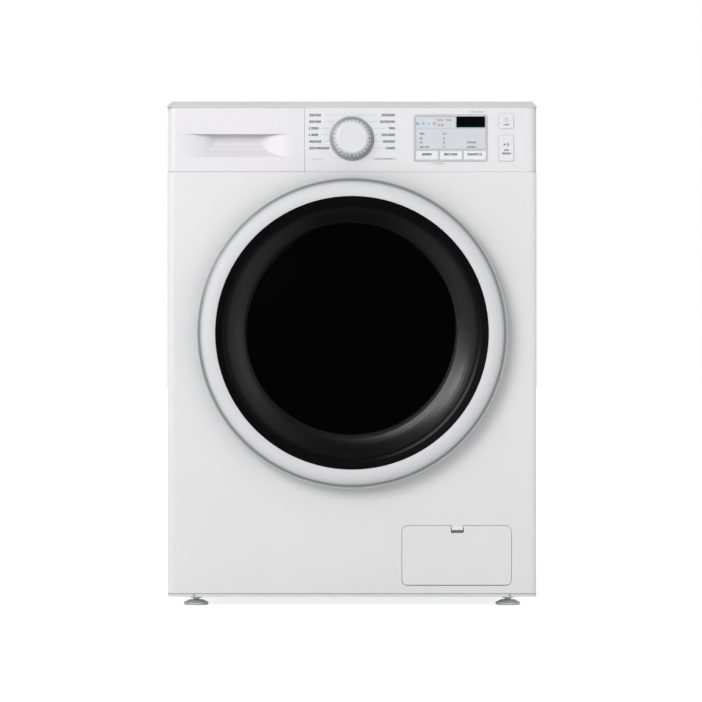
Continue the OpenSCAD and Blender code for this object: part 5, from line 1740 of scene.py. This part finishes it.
@dataclass
class Suspension:
    """Springs that carry the tub and dampers below it, in millimetres and degrees."""

    across: float = 240.0
    depth: float = 330.0
    radius: float = 11.0
    wire: float = 1.6
    turns: int = 12
    turn_steps: int = 20
    low: float = 604.0
    high: float = 768.8
    hook: float = 210.0
    hook_steps: int = 14

    def build(self) -> None:
        """Winds the springs and dresses the dampers."""
        dress(BLACK_PLASTIC, "damper_cylinders")
        dress(TURNED_STEEL, "damper_rods")
        for side, name in ((-1, "spring_left"), (1, "spring_right")):
            coil = Solid()
            path = [at(side * self.across + p.x, self.depth + p.y, p.z) for p in self.middle_line()]
            coil.sweep(path, disc(0, 0, self.wire, 10))
            spring = coil.piece(name, SCREW_ZINC, None, 60)
            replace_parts(spring, "suspension_springs")
            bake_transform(spring)

    def middle_line(self) -> Iterator[Vector]:
        """Follows one spring about its own axis, from the lower hook to the upper.

        Yields:
            The points of its middle line in millimetres.
        """
        r = self.radius
        for i in range(self.hook_steps + 1):
            a = math.radians(self.hook * (i / self.hook_steps - 1))
            yield Vector((r * math.cos(a), 0, self.low + r * math.sin(a)))
        steps = self.turns * self.turn_steps
        for i in range(1, steps):
            a = math.tau * i / self.turn_steps
            yield Vector((r * math.cos(a), r * math.sin(a), self.low + (self.high - self.low) * i / steps))
        for i in range(self.hook_steps + 1):
            a = math.radians(self.hook * i / self.hook_steps)
            yield Vector((r * math.cos(a), 0, self.high + r * math.sin(a)))


@dataclass
class Tub:
    """Tub halves with ballast and heater, and the drum that turns inside."""

    def build(self) -> None:
        """Dresses the tub and the drum."""
        dress(TUB_PLASTIC, "tub_front", "tub_rear")
        dress(CONCRETE, "counterweights")
        dress(HEATER_STEEL, "heater")
        dress(DRUM_STEEL, "drum_shell")
        dress(LIFTER_PLASTIC, "drum_lifters")
        dress(CAST_ALLOY, "drum_spider", "drum_pulley")
        dress(TURNED_STEEL, "drum_shaft", "bearings", "motor_pulley")
        dress(ZINC, "drive_motor")


@dataclass
class Belt:
    """Ribbed belt round the drum's pulley and the motor's, in millimetres."""

    big: float = 145.0
    small: float = 10.0
    lift: float = 0.3
    thick: float = 3.0
    root: float = 1.4
    width: float = 14.0
    edge: float = 1.0
    ribs: int = 4
    big_steps: int = 96
    small_steps: int = 24

    def build(self) -> None:
        """Draws the ribbed section round both pulleys."""
        low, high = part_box("drive_belt")
        depth = 500 * (low.y + high.y) - 1000 * FRONT
        section = self.section()
        rubber = Solid()
        rows = [rubber.ring([at(x + (r + u) * math.cos(a), depth + v, z + (r + u) * math.sin(a))
                             for u, v in section])
                for x, z, r, a in self.route()]
        rubber.skin([*rows, rows[0]], True)
        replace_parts(rubber.piece("ribbed_belt", BELT_RUBBER, "tub", 30), "drive_belt")

    def route(self) -> Iterator[tuple[float, float, float, float]]:
        """Follows the belt's inner face round the big pulley and then round the small one.

        Yields:
            The pulley's axis as x and z, the radius and the angle of each point.
        """
        x, z = middle("drum_pulley")
        motor_x, motor_z = middle("motor_pulley")
        way = math.atan2(motor_z - z, motor_x - x)
        lean = math.acos((self.big - self.small) / math.hypot(motor_x - x, motor_z - z))
        for cx, cz, r, a0, a1, steps in (
                (x, z, self.big, way + lean, way + math.tau - lean, self.big_steps),
                (motor_x, motor_z, self.small, way - lean, way + lean, self.small_steps)):
            for i in range(steps + 1):
                yield cx, cz, r + self.lift, a0 + (a1 - a0) * i / steps

    def section(self) -> list[Point]:
        """Gives the belt's section: a flat back and ribs that point inwards.

        Returns:
            Height above the inner face and place across the belt of each point.
        """
        half = self.width / 2
        pitch = (self.width - 2 * self.edge) / self.ribs
        points = [(self.thick, -half), (self.thick, half), (self.root, half)]
        for i in range(self.ribs):
            start = half - self.edge - i * pitch
            points += [(self.root, start), (0.0, start - pitch * 0.35), (0.0, start - pitch * 0.65),
                       (self.root, start - pitch)]
        return [*points, (self.root, -half)]


@dataclass
class Drain:
    """Drain pump with its filter."""

    def build(self) -> None:
        """Dresses the pump and the filter."""
        dress(BLACK_PLASTIC, "drain_pump")
        dress(FILTER_PLASTIC, "pump_impeller", "pump_filter")


@dataclass(frozen=True)
class SoftBox:
    """Square lamp: its place and side in metres, its power in watts, and whether it only adds sheen."""

    name: str
    place: tuple[float, float, float]
    side: float
    power: float
    sheen: bool = False


@dataclass
class Studio:
    """Plain pale room with soft light from the upper left.

    Lengths are metres, and the size of the floor's clouds is millimetres. A wall is where a ray points far
    enough to the rear or to a side.
    """

    lamps: tuple[SoftBox, ...] = (
        SoftBox("key_light", (-2.43, -5.09, 2.6), 2.72, 143.0),
        SoftBox("fill_light", (2.6, -2.4, 1.2), 2.2, 6.0),
        SoftBox("sheen_light", (-2.4, -1.75, 1.8), 1.2, 30.0, True),
    )
    lamp_aim: tuple[float, float, float] = (0.0, -0.2, 0.42)
    distance: float = 5.0
    span: float = 1.1384
    sensor: float = 36.0
    aim_x: float = -0.0016
    aim_z: float = 0.4147
    sight: float = 100.0
    near: float = 0.6
    far: float = 1.0
    back_wall: tuple[float, float] = (-0.2, 0.35)
    side_walls: tuple[float, float] = (0.25, 0.75)
    side_glow: tuple[float, float] = (0.03, 0.5)
    floor_half: float = 30.0
    floor_lift: float = 0.8
    floor_cloud: float = 1000 / 3
    floor_tones: tuple[str, str] = ("#EDEDED", "#F2F2F2")

    def build(self) -> None:
        """Makes the room's light, floor, lamps and camera."""
        self.world()
        self.floor()
        for lamp in self.lamps:
            self.hang(lamp)
        self.camera()

    def world(self) -> None:
        """Makes the even light, and for shiny surfaces a white wall at the back and dim ones beside it."""
        room = bpy.data.worlds.new("room")
        bpy.context.scene.world = room
        room.use_nodes = True
        tree = room.node_tree
        tree.nodes.clear()
        ray = add_node(tree, "ShaderNodeLightPath").outputs
        way = add_node(tree, "ShaderNodeTexCoord").outputs["Generated"]
        part = add_node(tree, "ShaderNodeSeparateXYZ", {}, {0: way}).outputs
        back = ramp(tree, part["Y"], *self.back_wall)
        even = ramp(tree, back, 0.0, 1.0, self.near, self.far)
        walls = ramp(tree, reckon(tree, "ABSOLUTE", part["X"]), *self.side_walls, *self.side_glow)
        mirrored = reckon(tree, "MAXIMUM", walls, back)
        lit = between(tree, ray["Is Glossy Ray"], even, mirrored)
        plain = reckon(tree, "MAXIMUM", ray["Is Camera Ray"], ray["Is Transmission Ray"])
        light = add_node(tree, "ShaderNodeBackground", {"Color": (1, 1, 1, 1)},
                         {"Strength": between(tree, plain, lit, 1.0)})
        add_node(tree, "ShaderNodeOutputWorld", {}, {"Surface": light.outputs[0]})
        room.cycles.sampling_method = "NONE"

    def floor(self) -> None:
        """Lays a pale floor that fades to white and keeps the machine's shadow."""
        half = self.floor_half
        mesh = bpy.data.meshes.new("studio_floor")
        corners = [(-half, -half, 0), (half, -half, 0), (half, half, 0), (-half, half, 0)]
        mesh.from_pydata(corners, [], [(0, 1, 2, 3)])
        mesh.materials.append(self.floor_paint())
        floor = bpy.data.objects.new("studio_floor", mesh)
        bpy.context.scene.collection.objects.link(floor)
        floor.visible_glossy = False

    def floor_paint(self) -> bpy.types.Material:
        """Mixes the floor's matt paint, which looks white to the camera where no shadow falls.

        Returns:
            The floor's material.
        """
        paint = bpy.data.materials.new("matt_floor_paint")
        paint.use_nodes = True
        tree = paint.node_tree
        tree.nodes.clear()
        ray = add_node(tree, "ShaderNodeLightPath").outputs
        place = add_node(tree, "ShaderNodeTexCoord").outputs["Object"]
        mottle = noise(tree, place, self.floor_cloud, 3.0)
        matt = add_node(tree, "ShaderNodeBsdfDiffuse", {}, {"Color": mixed(tree, mottle, *self.floor_tones)})
        glow = add_node(tree, "ShaderNodeEmission", {},
                        {"Strength": reckon(tree, "MULTIPLY", ray["Is Camera Ray"], self.floor_lift)})
        both = add_node(tree, "ShaderNodeAddShader", {}, {0: matt.outputs[0], 1: glow.outputs[0]})
        add_node(tree, "ShaderNodeOutputMaterial", {}, {"Surface": both.outputs[0]})
        return paint

    def hang(self, lamp: SoftBox) -> None:
        """Hangs a soft box that faces the machine.

        Args:
            lamp: Its name, place, size and power.
        """
        data = bpy.data.lights.new(lamp.name, "AREA")
        data.size = lamp.side
        data.energy = lamp.power
        box = bpy.data.objects.new(lamp.name, data)
        bpy.context.scene.collection.objects.link(box)
        box.location = lamp.place
        box.rotation_mode = "QUATERNION"
        box.rotation_quaternion = (Vector(self.lamp_aim) - Vector(lamp.place)).to_track_quat("-Z", "Y")
        box.visible_camera = False
        box.visible_diffuse = not lamp.sheen

    def camera(self) -> None:
        """Sets the camera level in front of the machine."""
        data = bpy.data.cameras.new("camera")
        data.sensor_width = self.sensor
        data.lens = self.sensor * self.distance / self.span
        data.clip_end = self.sight
        eye = bpy.data.objects.new("camera", data)
        bpy.context.scene.collection.objects.link(eye)
        eye.location = (self.aim_x, FRONT - self.distance, self.aim_z)
        eye.rotation_euler = (math.pi / 2, 0, 0)
        bpy.context.scene.camera = eye


def main() -> None:
    """Builds the machine's pieces in order, then the room."""
    logging.basicConfig(level=logging.INFO, format="%(message)s")
    for part in (Cabinet(), Console(), Display(), Drawer(), Door(), Gasket(), Hoses(), Suspension(), Tub(),
                 Belt(), Drain()):
        part.build()
        log.info("%s done", type(part).__name__)
    Studio().build()
    bpy.context.scene.view_settings.view_transform = "Standard"


if __name__ == "__main__":
    main()
